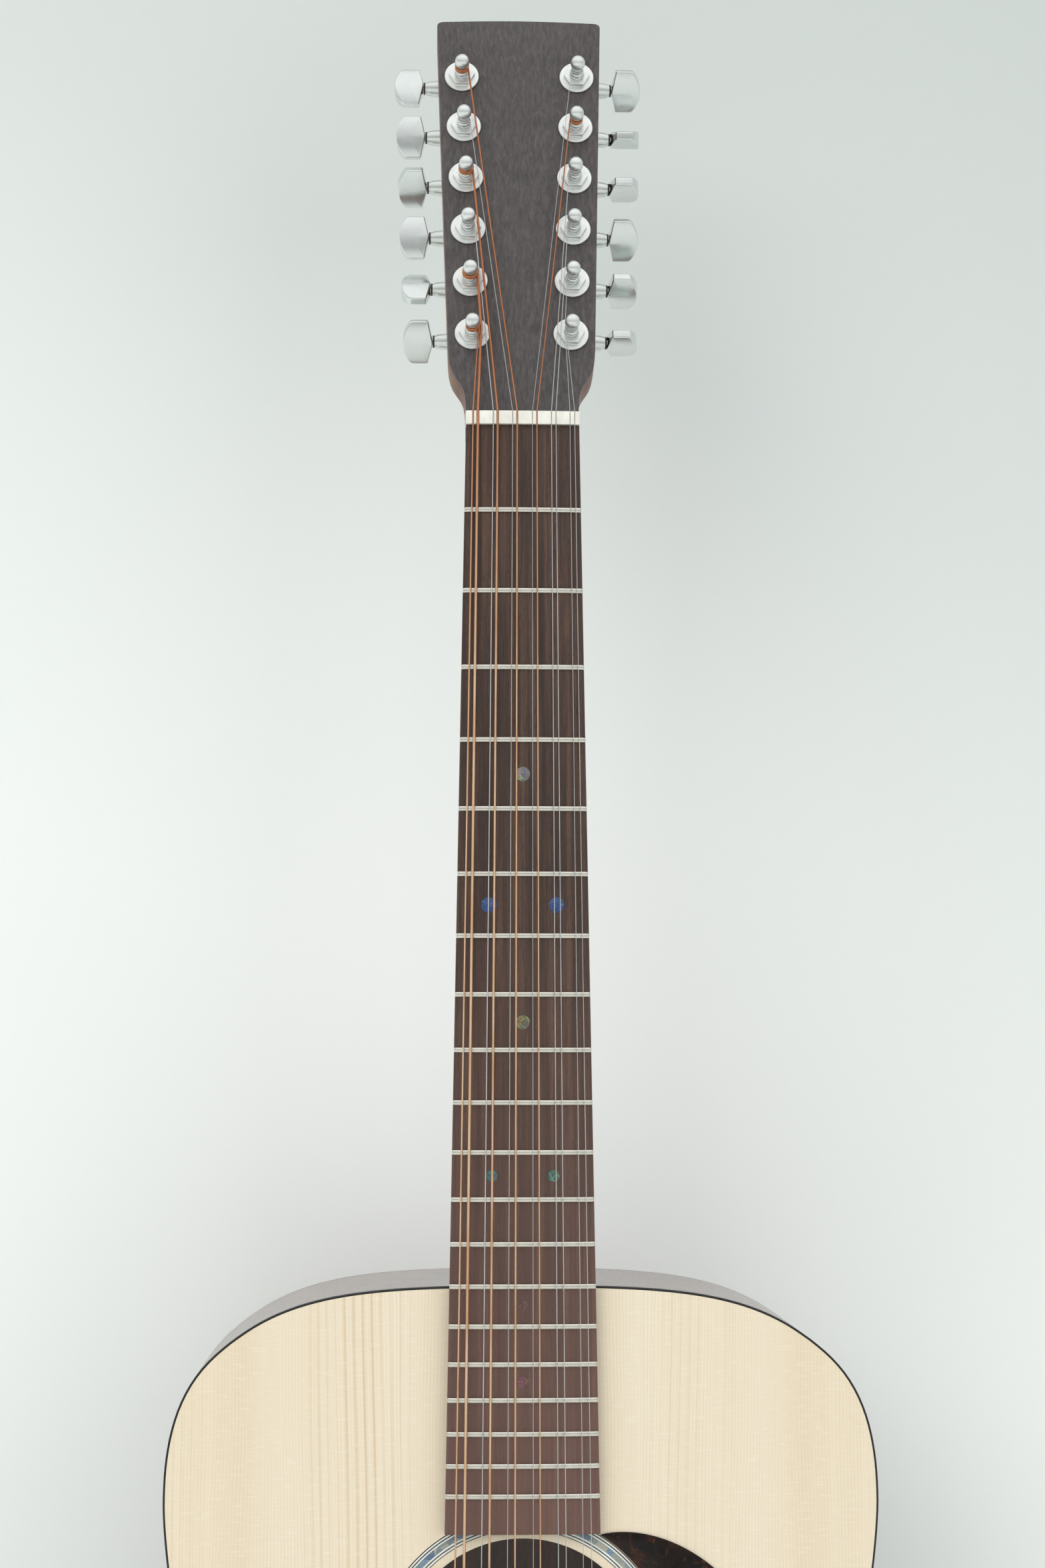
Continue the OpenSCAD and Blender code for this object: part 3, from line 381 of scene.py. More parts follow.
def dot_shell():
    """The position dots: shell whose tint goes from dot to dot down the board."""
    s = Surface("dot_shell", (150, 165, 170), 0.2, Coat_Weight=0.6, Coat_Roughness=0.06)
    along = s.node("ShaderNodeSeparateXYZ", {"Vector": s.place}).outputs["Z"]
    down = s.span(along, -0.14, -0.41, 0.0, 1.0)
    base = s.ramp(down, (0.06, (150, 148, 146)), (0.24, (52, 92, 156)), (0.4, (134, 136, 104)),
                  (0.62, (96, 136, 124)), (0.84, (112, 76, 74)), (0.97, (118, 82, 78)))
    swirl = s.noise(s.stretched(1.6, 1.6, 2.2), detail=3, rough=0.6, warp=1.5)
    light = s.ramp(swirl, (0.32, (70, 74, 78)), (0.5, (128, 130, 130)), (0.68, (206, 206, 196)))
    tinted = s.blend(0.7, base, light, "OVERLAY")
    halves = s.cells(s.stretched(3.3, 3.3, 3.3))
    s.colour(s.blend(0.28, tinted, halves, "SOFT_LIGHT"))
    s.rough(swirl, 0.14, 0.3)
    s.bump(swirl, 0.01)
    return s.material


def tortoise():
    s = Surface("tortoise", (34, 24, 20), 0.2, Specular_IOR_Level=0.25)
    cloud = s.noise(s.stretched(13, 13, 17), detail=5, rough=0.62, warp=1.4)
    fleck = s.noise(s.stretched(3.5, 3.5, 5), detail=4, rough=0.7, warp=0.8)
    base = s.ramp(cloud, (0.42, (16, 12, 11)), (0.56, (30, 19, 15)), (0.7, (66, 33, 18)))
    s.colour(s.blend(s.span(fleck, 0.58, 0.72, 0.0, 0.8), base, srgb(132, 66, 30)))
    s.rough(fleck, 0.12, 0.24)
    s.bump(cloud, 0.01)
    return s.material


M = {
    "spruce": spruce(),
    "neck_wood": wood("neck_wood", (78, 47, 31), (108, 68, 45), (136, 90, 60), 0.42, (7, 300),
                      (0.4, 26), 0.5),
    "headplate_wood": wood("headplate_wood", (56, 52, 52), (71, 66, 66), (88, 82, 81), 0.45, (1.3, 170),
                           (0.55, 80), 0.12, coat=0.1, depth=0.012),
    "fretboard_wood": wood("fretboard_wood", (46, 33, 28), (68, 49, 41), (96, 72, 59), 0.55, (1.8, 110),
                           (0.22, 15), 0.6, paler=(150, 112, 102)),
    "bridge_wood": wood("bridge_wood", (34, 25, 23), (48, 36, 32), (66, 50, 44), 0.45, (4, 90),
                        (0.3, 12), 0.6),
    "side_laminate": wood("side_laminate", (64, 37, 26), (92, 55, 38), (122, 76, 52), 0.3, (14, 420),
                          (0.5, 30), 0.4, coat=0.9),
    "back_laminate": wood("back_laminate", (60, 34, 24), (90, 53, 36), (124, 77, 52), 0.34, (16, 500),
                          (0.5, 34), 0.5, coat=0.3),
    "lining_wood": wood("lining_wood", (168, 130, 88), (190, 152, 106), (208, 172, 126), 0.6),
    "block_wood": wood("block_wood", (140, 98, 62), (164, 118, 78), (186, 140, 98), 0.6),
    "brace_spruce": wood("brace_spruce", (196, 166, 120), (214, 186, 142), (228, 204, 164), 0.6, pores=0.1),
    "plate_maple": wood("plate_maple", (196, 164, 122), (212, 182, 140), (226, 198, 160), 0.5, pores=0.15),
    "binding_black": plastic("binding_black", (20, 19, 20), 0.32),
    "rosette_black": plastic("rosette_black", (26, 25, 25), 0.4),
    "rosette_white": plastic("rosette_white", (226, 227, 221), 0.4),
    "rosette_shell": shell("rosette_shell", 4.2, (52, 82, 132), (118, 132, 128), (170, 164, 144),
                           (88, 122, 150), (196, 188, 168)),
    "dot_shell": dot_shell(),
    "nut_white": plastic("nut_white", (230, 227, 218), 0.38, 0.04),
    "saddle_white": plastic("saddle_white", (230, 227, 218), 0.38, 0.04),
    "cap_black": plastic("cap_black", (22, 20, 20), 0.25, coat=0.4),
    "pin_black": plastic("pin_black", (22, 21, 22), 0.22, coat=0.4),
    "tortoise": tortoise(),
    "fret_metal": metal("fret_metal", (226, 222, 212), 0.26),
    "tuner_satin": metal("tuner_satin", (222, 225, 223), 0.28, 0.03, mottle=0.03),
    "knob_satin": metal("knob_satin", (224, 228, 227), 0.24, 0.015, 0.12, 0.0005, 0.015),
    "bushing_satin": metal("bushing_satin", (243, 245, 243), 0.38, 0.03),
    "post_chrome": metal("post_chrome", (238, 241, 240), 0.36, 0.04),
    "screw_steel": metal("screw_steel", (196, 198, 198), 0.25),
    "rod_steel": metal("rod_steel", (150, 154, 158), 0.4),
    "string_bronze": wire("string_bronze", (238, 203, 170), (216, 160, 116), (192, 126, 90), 0.3, 0.25),
    "string_steel": wire("string_steel", (226, 226, 226), (190, 190, 192), (208, 208, 208), 0.28, 0.8),
    "washer_black": plastic("washer_black", (48, 50, 52), 0.45),
}


# ---------- CAD nodes that keep their shape ----------
def dress(node, material, edge=0.0, degrees=32):
    """Gives a CAD node its material and, where edge isn't 0, soft edges that wide."""
    kept = NODES[node]
    kept.data.materials.clear()
    kept.data.materials.append(M[material])
    kept.data.polygons.foreach_set("use_smooth", [True] * len(kept.data.polygons))
    if edge:
        weld = kept.modifiers.new("weld", "WELD")
        weld.merge_threshold = 0.002 * MM
        soft = kept.modifiers.new("soft_edges", "BEVEL")
        soft.width = edge * MM
        soft.segments = 3
        soft.limit_method = "ANGLE"
        soft.angle_limit = math.radians(degrees)
        soft.harden_normals = True
    return kept


KEPT = {
    "headstock": ("neck_wood", 0.9), "headplate": ("headplate_wood", 0.35),
    "fretboard": ("fretboard_wood", 0.2),
    "nut": ("nut_white", 0.3), "position_dots": ("dot_shell", 0), "truss_rod": ("rod_steel", 0),
    "heel_cap": ("cap_black", 0.4), "linings": ("lining_wood", 0), "neck_block": ("block_wood", 0),
    "tail_block": ("block_wood", 0), "x_brace": ("brace_spruce", 0.6), "upper_braces": ("brace_spruce", 0.6),
    "tone_bars": ("brace_spruce", 0.6), "finger_braces": ("brace_spruce", 0.6),
    "bridge_plate": ("plate_maple", 0), "back_braces": ("brace_spruce", 0.6),
    "bridge": ("bridge_wood", 0.8), "saddle": ("saddle_white", 0.5), "bridge_pins": ("pin_black", 0),
    "end_pin": ("pin_black", 0), "tuner_housings": ("tuner_satin", 0.35),
    "tuner_bushings": ("bushing_satin", 0.25),
    "tuner_screws": ("screw_steel", 0.25),
}
for node, (material, edge) in KEPT.items():
    dress(node, material, edge)


# ---------- tuner knobs ----------
knob_from = 16.8
knob_to = 29.6
knob_half = 9.45
knob_shoulder = 1.95
knob_point = 0.6
knob_mid = 3.4
knob_edge = 1.65
knob_soft = 0.5
knob_arc = 14.8
knob_crown = (knob_half ** 2 + (knob_mid - knob_edge) ** 2) / (2 * (knob_mid - knob_edge))
# How far each knob is turned at rest, in degrees from facing as the headstock does
KNOB_TURN = (44, -28, 14, 61, 16, -5, 92, 75, 51, 96, 110, 51)


def knob_outline():
    """The knob's edge, with its corners rounded off."""
    centre = knob_to - knob_arc
    swing = math.asin(knob_half / knob_arc)
    arc_end = centre + knob_arc * math.cos(swing)
    corners = [((knob_from, -knob_point), 0.3), ((knob_from + knob_shoulder, -knob_half), 0.6),
               ((arc_end, -knob_half), 1.3), None, ((arc_end, knob_half), 1.3),
               ((knob_from + knob_shoulder, knob_half), 0.6), ((knob_from, knob_point), 0.3)]
    line = []
    for i, corner in enumerate(corners):
        if corner is None:
            cut = swing - 1.3 / knob_arc
            line += [Vector((centre + knob_arc * math.cos(a), knob_arc * math.sin(a)))
                     for a in (mix(-cut, cut, k / 20) for k in range(1, 20))]
            continue
        here, soft = Vector(corner[0]), corner[1]
        ends = []
        for other, along_arc in ((corners[i - 1], i == 4), (corners[(i + 1) % 7], i == 2)):
            if along_arc:
                a = (swing - soft / knob_arc) * (1 if i == 4 else -1)
                ends.append(Vector((centre + knob_arc * math.cos(a), knob_arc * math.sin(a))))
            else:
                ends.append(here + (Vector(other[0]) - here).normalized() * soft)
        line += [bezier((ends[0], here, ends[1]), k / 5) for k in range(6)]
    return line


def knob_loops():
    """Loops over the whole knob as (along the shaft, across, through) from its shaft's start."""
    line = knob_outline()
    count = len(line)
    inward = []
    for i in range(count):
        along = line[(i + 1) % count] - line[i - 1]
        inward.append(Vector((-along.y, along.x)).normalized())
    middle = Vector(((knob_from + knob_to) / 2 + 0.6, 0))

    def thick(across):
        return knob_mid - knob_crown + math.sqrt(knob_crown ** 2 - across ** 2)

    def loop(inset, sink, share=1.0):
        spots = [middle + (p + n * inset - middle) * share for p, n in zip(line, inward)]
        return [Vector((p.x, p.y, thick(p.y) - sink)) for p in spots]

    front = [loop(knob_soft, 0, share) for share in (0.01, 0.25, 0.5, 0.7, 0.85, 0.94, 0.98, 1)]
    for k in range(1, 7):
        a = math.pi / 12 * k
        front.append(loop(knob_soft * (1 - math.sin(a)), knob_soft * (1 - math.cos(a))))
    return front + [[Vector((p.x, p.y, -p.z)) for p in loop_] for loop_ in reversed(front)]


SHAFT_PROFILE = (
    (0.01, -5.8), (1.3, -5.8), (1.3, -3.95), (1.9, -3.9), (1.9, -3.7),
)
shaft_end = ((1.9, 4.0), (1.9, 15.75), (2.5, 15.8), (2.5, 15.95), (1.5, 16.0), (1.5, 17.2), (0.01, 17.2))
washer_profile = ((1.5, 15.98), (2.55, 15.98), (2.7, 16.08), (2.7, 16.62), (2.55, 16.72), (1.5, 16.72))
worm_pitch = 0.75 * math.pi


def knob_pieces(number, tuner):
    joint = JOINTS["knob_spin_" + tuner]
    centre = Vector(joint["pos_m"]) / MM
    side = Vector((1 if centre.x > 0 else -1, 0, 0))
    angle = math.radians(90 + KNOB_TURN[number])
    into_head = -OUT_OF_HEAD
    across = into_head * math.cos(angle) + UP_HEAD * math.sin(angle)
    through = UP_HEAD * math.cos(angle) - into_head * math.sin(angle)
    loops = [[centre + side * p.x + across * p.y + through * p.z for p in loop] for loop in KNOB_LOOPS]
    body = "knob_" + tuner
    looped("knob_grip_" + tuner, loops, M["knob_satin"], caps=True, body=body,
           stands_for=["tuner_knob_" + tuner], slot="knob_satin", degrees=50)
    worm = []
    for k in range(61):
        u = mix(-3.7, 4.0, k / 60)
        swing = 2 * math.pi * u / worm_pitch
        shift = 0.62 * (math.cos(swing) * UP_HEAD + math.sin(swing) * into_head)
        worm.append([p + shift for p in turned(((2.05, u),), centre, side, 20)[0]])
    shapes = [turned(SHAFT_PROFILE, centre, side, 32), worm, turned(shaft_end, centre, side, 32)]
    points, faces = joined(shapes)
    piece("knob_shaft_" + tuner, points, faces, M["tuner_satin"], body=body, slot="knob_satin", degrees=40)
    looped("knob_washer_" + tuner, turned(washer_profile, centre, side, 40), M["washer_black"], body=body,
           ring=True, slot="knob_satin", degrees=40)


KNOB_LOOPS = knob_loops()
for number, tuner in enumerate(TUNERS):
    knob_pieces(number, tuner)


# ---------- body ----------
OUTLINE_POINTS = 400


def body_outline():
    """The soundboard's edge from the CAD node, as a smooth closed line of even steps."""
    hole = Vector((0, hole_z))
    centre = Vector((0, body_centre))
    found = {}
    for v in vertices_of("soundboard"):
        p = Vector((v.x, v.z))
        if (p - hole).length > 66 and (p - centre).length > 100:
            found[(round(p.x, 1), round(p.y, 1))] = p
    corners = sorted(found.values(), key=lambda p: math.atan2(p.x, p.y - body_centre))
    count = len(corners)
    dense = []
    for i in range(count):
        a, b, c, d = (corners[(i + k) % count] for k in (-1, 0, 1, 2))
        steps = 12
        for k in range(steps):
            t = k / steps
            dense.append(0.5 * (2 * b + (c - a) * t + (2 * a - 5 * b + 4 * c - d) * t * t
                                + (3 * b - a - 3 * c + d) * t ** 3))
    lengths = [0.0]
    for p, q in zip(dense, dense[1:] + dense[:1]):
        lengths.append(lengths[-1] + (q - p).length)
    even = []
    at = 0
    for k in range(OUTLINE_POINTS):
        want = lengths[-1] * k / OUTLINE_POINTS
        while lengths[at + 1] < want:
            at += 1
        share = (want - lengths[at]) / (lengths[at + 1] - lengths[at])
        even.append(mix(dense[at], dense[(at + 1) % len(dense)], share))
    return even


def outward(line):
    """Unit normals of a closed line that runs clockwise as seen from the front."""
    found = []
    for i in range(len(line)):
        along = line[(i + 1) % len(line)] - line[i - 1]
        found.append(Vector((along.y, -along.x)).normalized())
    centre = Vector((0, body_centre))
    if sum(n.dot(p - centre) for n, p in zip(found, line)) < 0:
        found = [-n for n in found]
    return found


board_line = body_outline()
board_out = outward(board_line)


def outline(inset, depth):
    """The body's edge moved inwards, at one depth or at a depth worked out for each point."""
    moved = [p + n * (bind_inset - inset) for p, n in zip(board_line, board_out)]
    return [Vector((p.x, depth(p.x, p.y) if callable(depth) else depth, p.y)) for p in moved]


def hole_circle(radius, depth):
    """A circle round the soundhole with one point for each point of the outline."""
    hole = Vector((0, hole_z))
    rays = [(p - hole).normalized() for p in board_line]
    return [Vector((radius * ray.x, depth, hole_z + radius * ray.y)) for ray in rays]


BACK_ARCH = 2800
heel_edge = max(v.y for v in vertices_of("back") if v.z > high("back").z - 1)
slope = math.atan2(high("back").y - heel_edge, body_top - tail)


def back_depth(inset):
    def depth(x, z):
        rise = math.sqrt((BACK_ARCH - inset) ** 2 - x * x) - BACK_ARCH
        along = (z - body_top - rise * math.sin(slope)) / math.cos(slope)
        return heel_edge + rise * math.cos(slope) - along * math.sin(slope)
    return depth


hole_r = 50.8
channel_inner = 54.27
channel_outer = 60.93
channel_floor = top_face + 0.9
side_t = 2.0
back_t = 2.5
gap = 0.03

looped("soundboard_spruce", [
    outline(bind_inset, board_under), outline(bind_inset, top_face),
    hole_circle(90, top_face), hole_circle(channel_outer, top_face),
    hole_circle(channel_outer, channel_floor),
    hole_circle(channel_inner, channel_floor), hole_circle(channel_inner, top_face),
    hole_circle(hole_r + 0.5, top_face), hole_circle(hole_r + 0.15, top_face + 0.15),
    hole_circle(hole_r, top_face + 0.5), hole_circle(hole_r, board_under - 0.3),
    hole_circle(hole_r + 0.3, board_under),
], M["spruce"], ring=True, stands_for=["soundboard"], slot="spruce")

bind_w = 0.9
looped("edge_binding", [
    outline(bind_w, bind_back), outline(0, bind_back), outline(0, top_face + 0.5),
    outline(0.15, top_face + 0.15), outline(0.5, top_face), outline(bind_w, top_face),
], M["binding_black"], ring=True, stands_for=["top_binding"], slot="binding_black", degrees=50)

side_front = bind_back + gap
side_back = back_depth(back_t + gap)
looped("bent_sides", [
    outline(side_t, board_under + gap), outline(side_t, side_back),
    outline(0, side_back), outline(0, side_front), outline(bind_w + gap, side_front),
    outline(bind_w + gap, board_under + gap),
], M["side_laminate"], ring=True, stands_for=["sides"], slot="side_laminate")


def back_plate():
    """The arched back as rings that shrink towards its middle, outside and then inside."""
    centre = Vector((0, body_centre))
    rings = 22

    def shrunk(share, inset):
        depth = back_depth(inset)
        line = [centre + (p + n * bind_inset - centre) * share for p, n in zip(board_line, board_out)]
        return [Vector((p.x, depth(p.x, p.y), p.y)) for p in line]

    shares = [1 - k / rings for k in range(rings)] + [0.004]
    inner = [shrunk(f, back_t) for f in reversed(shares)]
    outer = [shrunk(1, 0.45)] + [shrunk(1 - 0.0022, 0.0)] + [shrunk(f, 0.0) for f in shares[1:]]
    plate = looped("arched_back", inner + outer, M["back_laminate"], caps=True, stands_for=["back"],
                   slot="back_laminate", degrees=50)
    plate.data.materials.append(M["binding_black"])
    edge_ring = 2.6
    line = [p + n * bind_inset for p, n in zip(board_line, board_out)]
    for face in plate.data.polygons:
        spot = Vector((face.center.x, face.center.z)) / MM
        if min((spot - p).length for p in line[::4]) < edge_ring:
            face.material_index = 1
    return plate


back_plate()


# ---------- rosette ----------
BLACK_RINGS = ((54.3, 54.6), (55.35, 55.8), (59.4, 59.85), (60.5, 60.9))
WHITE_RINGS = ((54.6, 55.35), (55.8, 56.5), (58.8, 59.4), (59.85, 60.5))
SHELL_RINGS = ((56.5, 58.8),)


def rosette(name, rings, slot):
    points, faces = [], []
    for inner, outer in rings:
        loops = [hole_circle(inner, channel_floor - 0.05), hole_circle(inner, top_face),
                 hole_circle(outer, top_face), hole_circle(outer, channel_floor - 0.05)]
        faces += strip(loops, ring=True, start=len(points))
        points += [p for loop in loops for p in loop]
    piece(name, points, faces, M[slot], stands_for=[slot], slot=slot)


rosette("rosette_lines_black", BLACK_RINGS, "rosette_black")
rosette("rosette_lines_white", WHITE_RINGS, "rosette_white")
rosette("rosette_shell_ring", SHELL_RINGS, "rosette_shell")


# ---------- pickguard ----------
def guard_edge(inner):
    """Its edge round the soundhole's centre, from the fretboard's corner and back along the rosette."""
    curves = (((31.8, 52.3), (56, 58), (92, 40), (102, 0)), ((102, 0), (108, -24), (111, -62), (103, -88)),
              ((103, -88), (97, -108), (80, -113), (66, -101)),
              ((66, -101), (52, -89), (40, -70), (27.5, -54.6)))
    line = [bezier(curve, k / 30) for curve in curves for k in range(30)]
    ends = [math.atan2(line[-1].y, line[-1].x), math.atan2(line[0].y, line[0].x)]
    arc = [inner * Vector((math.cos(a), math.sin(a))) for a in (mix(*ends, k / 60) for k in range(61))]
    return [p for p in line if p.length > inner + 0.4] + arc


def guard_loop(inset, depth):
    line = guard_edge(channel_outer + 0.2)
    count = len(line)
    moved = []
    for i, p in enumerate(line):
        along = (line[(i + 1) % count] - line[i - 1]).normalized()
        moved.append(Vector((p.x + along.y * -inset, depth, hole_z + p.y + along.x * inset)))
    return moved


guard_front = low("pickguard").y
guard_way = -1 if guard_loop(1, 0)[40].x > guard_loop(0, 0)[40].x else 1
guard_steps = [(0, top_face - 0.02)] + [(0.4 - 0.4 * math.cos(a), guard_front + 0.4 - 0.4 * math.sin(a))
                                        for a in (math.pi / 12 * k for k in range(7))]
looped("pickguard_plate", [guard_loop(guard_way * inset, depth) for inset, depth in guard_steps],
       M["tortoise"], caps=True, stands_for=["pickguard"], slot="tortoise", degrees=40)


# ---------- neck ----------
nut_half = 23.8
board_taper = 0.0171
crown_r = 406
neck_nut = 14.1
neck_heel = 16.1
heel_len = 62
heel_cap_len = 17.5
heel_drop = 97
shaft_drop = neck_heel + 0.4
neck_from = 6
body_s = -body_top


def board_half(s):
    return nut_half + board_taper * s


def neck_section(s, drop, heel, top, bottom, steps=28):
    """Half-round section of the neck between two depths under the fretboard."""
    power = mix(2.2, 14, heel)
    right = []
    for k in range(steps + 1):
        y = mix(top, bottom, math.sin(math.pi / 2 * k / steps))
        e = min(y / drop, 0.997)
        taper = 1 - 0.52 * heel * (e * min(1, drop / heel_drop + 0.25)) ** 0.7
        half = board_half(s) * taper * max(0, 1 - e ** power) ** 0.5
        right.append(Vector((half, top_face + y, -s)))
    return right + [Vector((-p.x, p.y, p.z)) for p in reversed(right)]


def neck_stations():
    found = []
    shaft = body_s - heel_len
    for k in range(25):
        s = mix(neck_from, shaft, k / 24)
        found.append((s, mix(neck_nut, neck_heel, s / shaft), 0))
    curve = ((heel_len, neck_heel), (30, neck_heel + 0.8), (24, 40), (heel_cap_len, heel_drop))
    for k in range(1, 31):
        back, drop = bezier(curve, k / 30)
        found.append((body_s - back, drop, min(1, k / 30 * 1.25)))
    found.append((body_s, heel_drop, 1))
    return found


stations = neck_stations()
looped("neck_shaft", [neck_section(s, drop, heel, 0, min(drop, shaft_drop)) for s, drop, heel in stations],
       M["neck_wood"], caps=True, stands_for=["neck"], slot="neck_wood")
looped("neck_heel", [neck_section(s, drop, heel, shaft_drop, drop) for s, drop, heel in stations
                     if drop > shaft_drop + 0.6],
       M["neck_wood"], caps=True, stands_for=["heel"], slot="neck_wood")


# ---------- frets ----------
scale_len = 645.2
fret_count = 20
fret_half = 1.15
fret_rise = 1.0
board_front = 1.0
fret_seat = 0.35


def fret_place(n):
    return scale_len * (1 - 2 ** (-n / 12))


def crown_depth(x):
    return x * x / (2 * crown_r)


def fret_loops(n):
    """One fret as loops across the board; its ends are filed to a slant and rounded."""
    s = fret_place(n)
    half = board_half(s) + 0.1
    across = [-1, -0.999, -0.985, -0.96] + [k / 12 for k in range(-11, 12)] + [0.96, 0.985, 0.999, 1]
    loops = []
    for share in across:
        x = half * share
        end = (half - abs(x)) / 1.3
        rise = fret_rise * min(1, 0.12 + 0.88 * math.sqrt(min(1, max(0, end))))
        wide = fret_half * min(1, 0.72 + 0.28 * math.sqrt(min(1, max(0, end))))
        base = board_front + crown_depth(x)
        arc = [(wide * math.cos(math.pi * k / 14), rise * math.sin(math.pi * k / 14) ** 0.8)
               for k in range(15)]
        loop = [Vector((x, base - up, -s + along)) for along, up in arc]
        foot = [Vector((x, base + fret_seat, -s - wide)), Vector((x, base + fret_seat, -s + wide))]
        loops.append(loop + foot)
    return loops


points, faces = joined([fret_loops(n) for n in range(1, fret_count + 1)])
piece("fret_wires", points, faces, M["fret_metal"], stands_for=["frets"], slot="fret_metal", degrees=50)


# ---------- strings ----------
# Radius, distance from the centreline at the nut and at the end of the board, and if it is wound
STRINGS = (
    (0.34, -20.9, -27.3, True), (0.6, -18.9, -23.7, True), (0.23, -12.4, -16.7, False),
    (0.5, -10.6, -13.6, True), (0.15, -4.3, -6.3, False), (0.38, -2.4, -3.3, True),
    (0.12, 4, 4.1, False), (0.29, 5.9, 6.9, True), (0.18, 12, 14.2, False),
    (0.18, 13.9, 17.3, False), (0.13, 19.8, 24.2, False), (0.13, 21.8, 27.6, False),
)
board_len = 457.2
post_waist = 2.3
string_lift = 6.9
nut_rise = 0.45
saddle_rise = 4.4
saddle_s = scale_len + 2.8
saddle_slant = math.radians(2)
pin_rows = (14, 23)
pin_spread = 2.6
slot_offset = 3.5
bridge_t = 8.5


def saddle_x(i):
    return mix(STRINGS[i][1], STRINGS[i][2], saddle_s / board_len)


def string_tuner(i):
    return TUNERS[i if i < 6 else 17 - i]


def tangent(tuner, offset):
    """A point beside a post, on the side of the headstock's middle."""
    foot = post_foot(tuner)
    side = 1 if foot.x > 0 else -1
    return Vector((side * (abs(foot.x) - offset), foot.y, foot.z)) + OUT_OF_HEAD * string_lift


def string_path(i):
    r, at_nut, _, _ = STRINGS[i]
    tuner = string_tuner(i)
    path = [tangent(tuner, post_waist + r + 0.05)]
    if i in (1, 10):
        neighbour = STRINGS[0 if i == 1 else 11][0]
        path.append(tangent("01" if i == 1 else "07", post_waist + 2 * neighbour + r + 0.1))
    over_nut = crown_depth(at_nut) - nut_rise - r
    x = saddle_x(i)
    pair = i - i % 2
    pin_x = (saddle_x(pair) + saddle_x(pair + 1)) / 2 + (-pin_spread if i % 2 == 0 else pin_spread)
    slot_z = -(saddle_s + pin_rows[i % 2] - slot_offset)
    over_saddle = crown_depth(x) - saddle_rise - r
    saddle_at = -(saddle_s - x * math.tan(saddle_slant))
    path += [(at_nut, over_nut + 0.5, nut_z), (at_nut, over_nut + 0.12, nut_z * 0.5), (at_nut, over_nut, 0.4)]
    path += [(x, over_saddle, saddle_at + 0.5), (x, over_saddle + 0.05, saddle_at - 0.7)]
    path += [(pin_x, top_face - bridge_t - r - 0.5, slot_z - 1), (pin_x, top_face - bridge_t + 1.5, slot_z),
             (pin_x, board_under + 6, slot_z)]
    return path


for name, is_wound, slot in (("bronze_strings", True, "string_bronze"),
                             ("steel_strings", False, "string_steel")):
    bars = [tube(string_path(i), STRINGS[i][0]) for i in range(12) if STRINGS[i][3] == is_wound]
    points, faces = joined(bars)
    piece(name, points, faces, M[slot], stands_for=["wound_strings" if is_wound else "plain_strings"],
          slot=slot, degrees=60)


# ---------- tuner posts and the turns of string on them ----------
POST_PROFILE = (
    (0.01, -21.9), (2.9, -21.9), (2.9, 5.6), (2.75, 5.95), (2.4, 6.15), (2.3, 6.5), (2.28, 8.4), (2.35, 9.9),
    (2.6, 10.5), (2.95, 10.8), (3.1, 11.3), (3.1, 12.2), (3.03, 13.0), (2.83, 13.7), (2.5, 14.3), (2.0, 14.8),
    (1.35, 15.13), (0.7, 15.27), (0.01, 15.3),
)
WHEEL_PROFILE = ((0.01, -22.1), (5.4, -22.1), (5.6, -21.9), (5.6, -20.3), (5.4, -20.1), (0.01, -20.1))
JOURNAL = ((0.01, -24.8), (1.5, -24.8), (1.5, -21.0), (0.01, -21.0))
neck_height = 10.3


def coil_path(foot, r, turns):
    """A helix up the post's waist that starts where the string meets it, and ends in the post."""
    side = Vector((1, 0, 0)) if foot.x < 0 else Vector((-1, 0, 0))
    up = OUT_OF_HEAD.cross(side)
    ring = post_waist + r + 0.02
    step = 2 * r + 0.05
    per_turn = 28
    # The turns start this part of a turn before the place where the string meets them, so the two
    # overlap there at rest, and the contact that a turned post makes is hidden in that overlap at rest.
    # The contact that a turned post makes is hidden from a test against rest
    lap = 0.07
    path = []
    for k in range(int(per_turn * (turns + lap)) + 1):
        turn = k / per_turn - lap
        lift = string_lift + step * max(0, turn)
        angle = 2 * math.pi * turn * (1 if foot.x < 0 else -1)
        path.append(foot + ring * (math.cos(angle) * side + math.sin(angle) * up) + OUT_OF_HEAD * lift)
    end = foot + OUT_OF_HEAD * (lift + r * 0.4)
    return path + [mix(path[-1], end, 0.55), end]


for number, tuner in enumerate(TUNERS):
    body = "post_" + tuner
    foot = post_foot(tuner)
    index = next(i for i in range(12) if string_tuner(i) == tuner)
    r, _, _, is_wound = STRINGS[index]
    shapes = [turned(profile, foot, OUT_OF_HEAD) for profile in (POST_PROFILE, WHEEL_PROFILE, JOURNAL)]
    points, faces = joined(shapes)
    piece("post_%s" % tuner, points, faces, M["post_chrome"], body=body,
          stands_for=["tuner_post_" + tuner], slot="post_chrome", degrees=40)
    turns = min(3.6, (neck_height - string_lift - r) / (2 * r + 0.05))
    points, faces = joined([tube(coil_path(foot, r, turns), r, 10)])
    slot = "string_bronze" if is_wound else "string_steel"
    piece("string_turns_%s" % tuner, points, faces, M[slot], body=body, slot=slot, degrees=60)


# ---------- stage, light and camera ----------
def plain(name, colour, rough=0.9):
    s = Surface(name, colour, rough)
    cloud = s.noise(s.stretched(400, 400, 400), detail=2)
    s.colour(s.ramp(cloud, (0.3, colour), (0.7, tuple(min(255, c + 2) for c in colour))))
    return s


def panel(name, corners, surface):
    mesh = bpy.data.meshes.new(name)
    mesh.from_pydata([Vector(c) for c in corners], [], [(0, 1, 2, 3)])
    mesh.materials.append(surface.material)
    made = bpy.data.objects.new(name, mesh)
    bpy.context.scene.collection.objects.link(made)
    return made


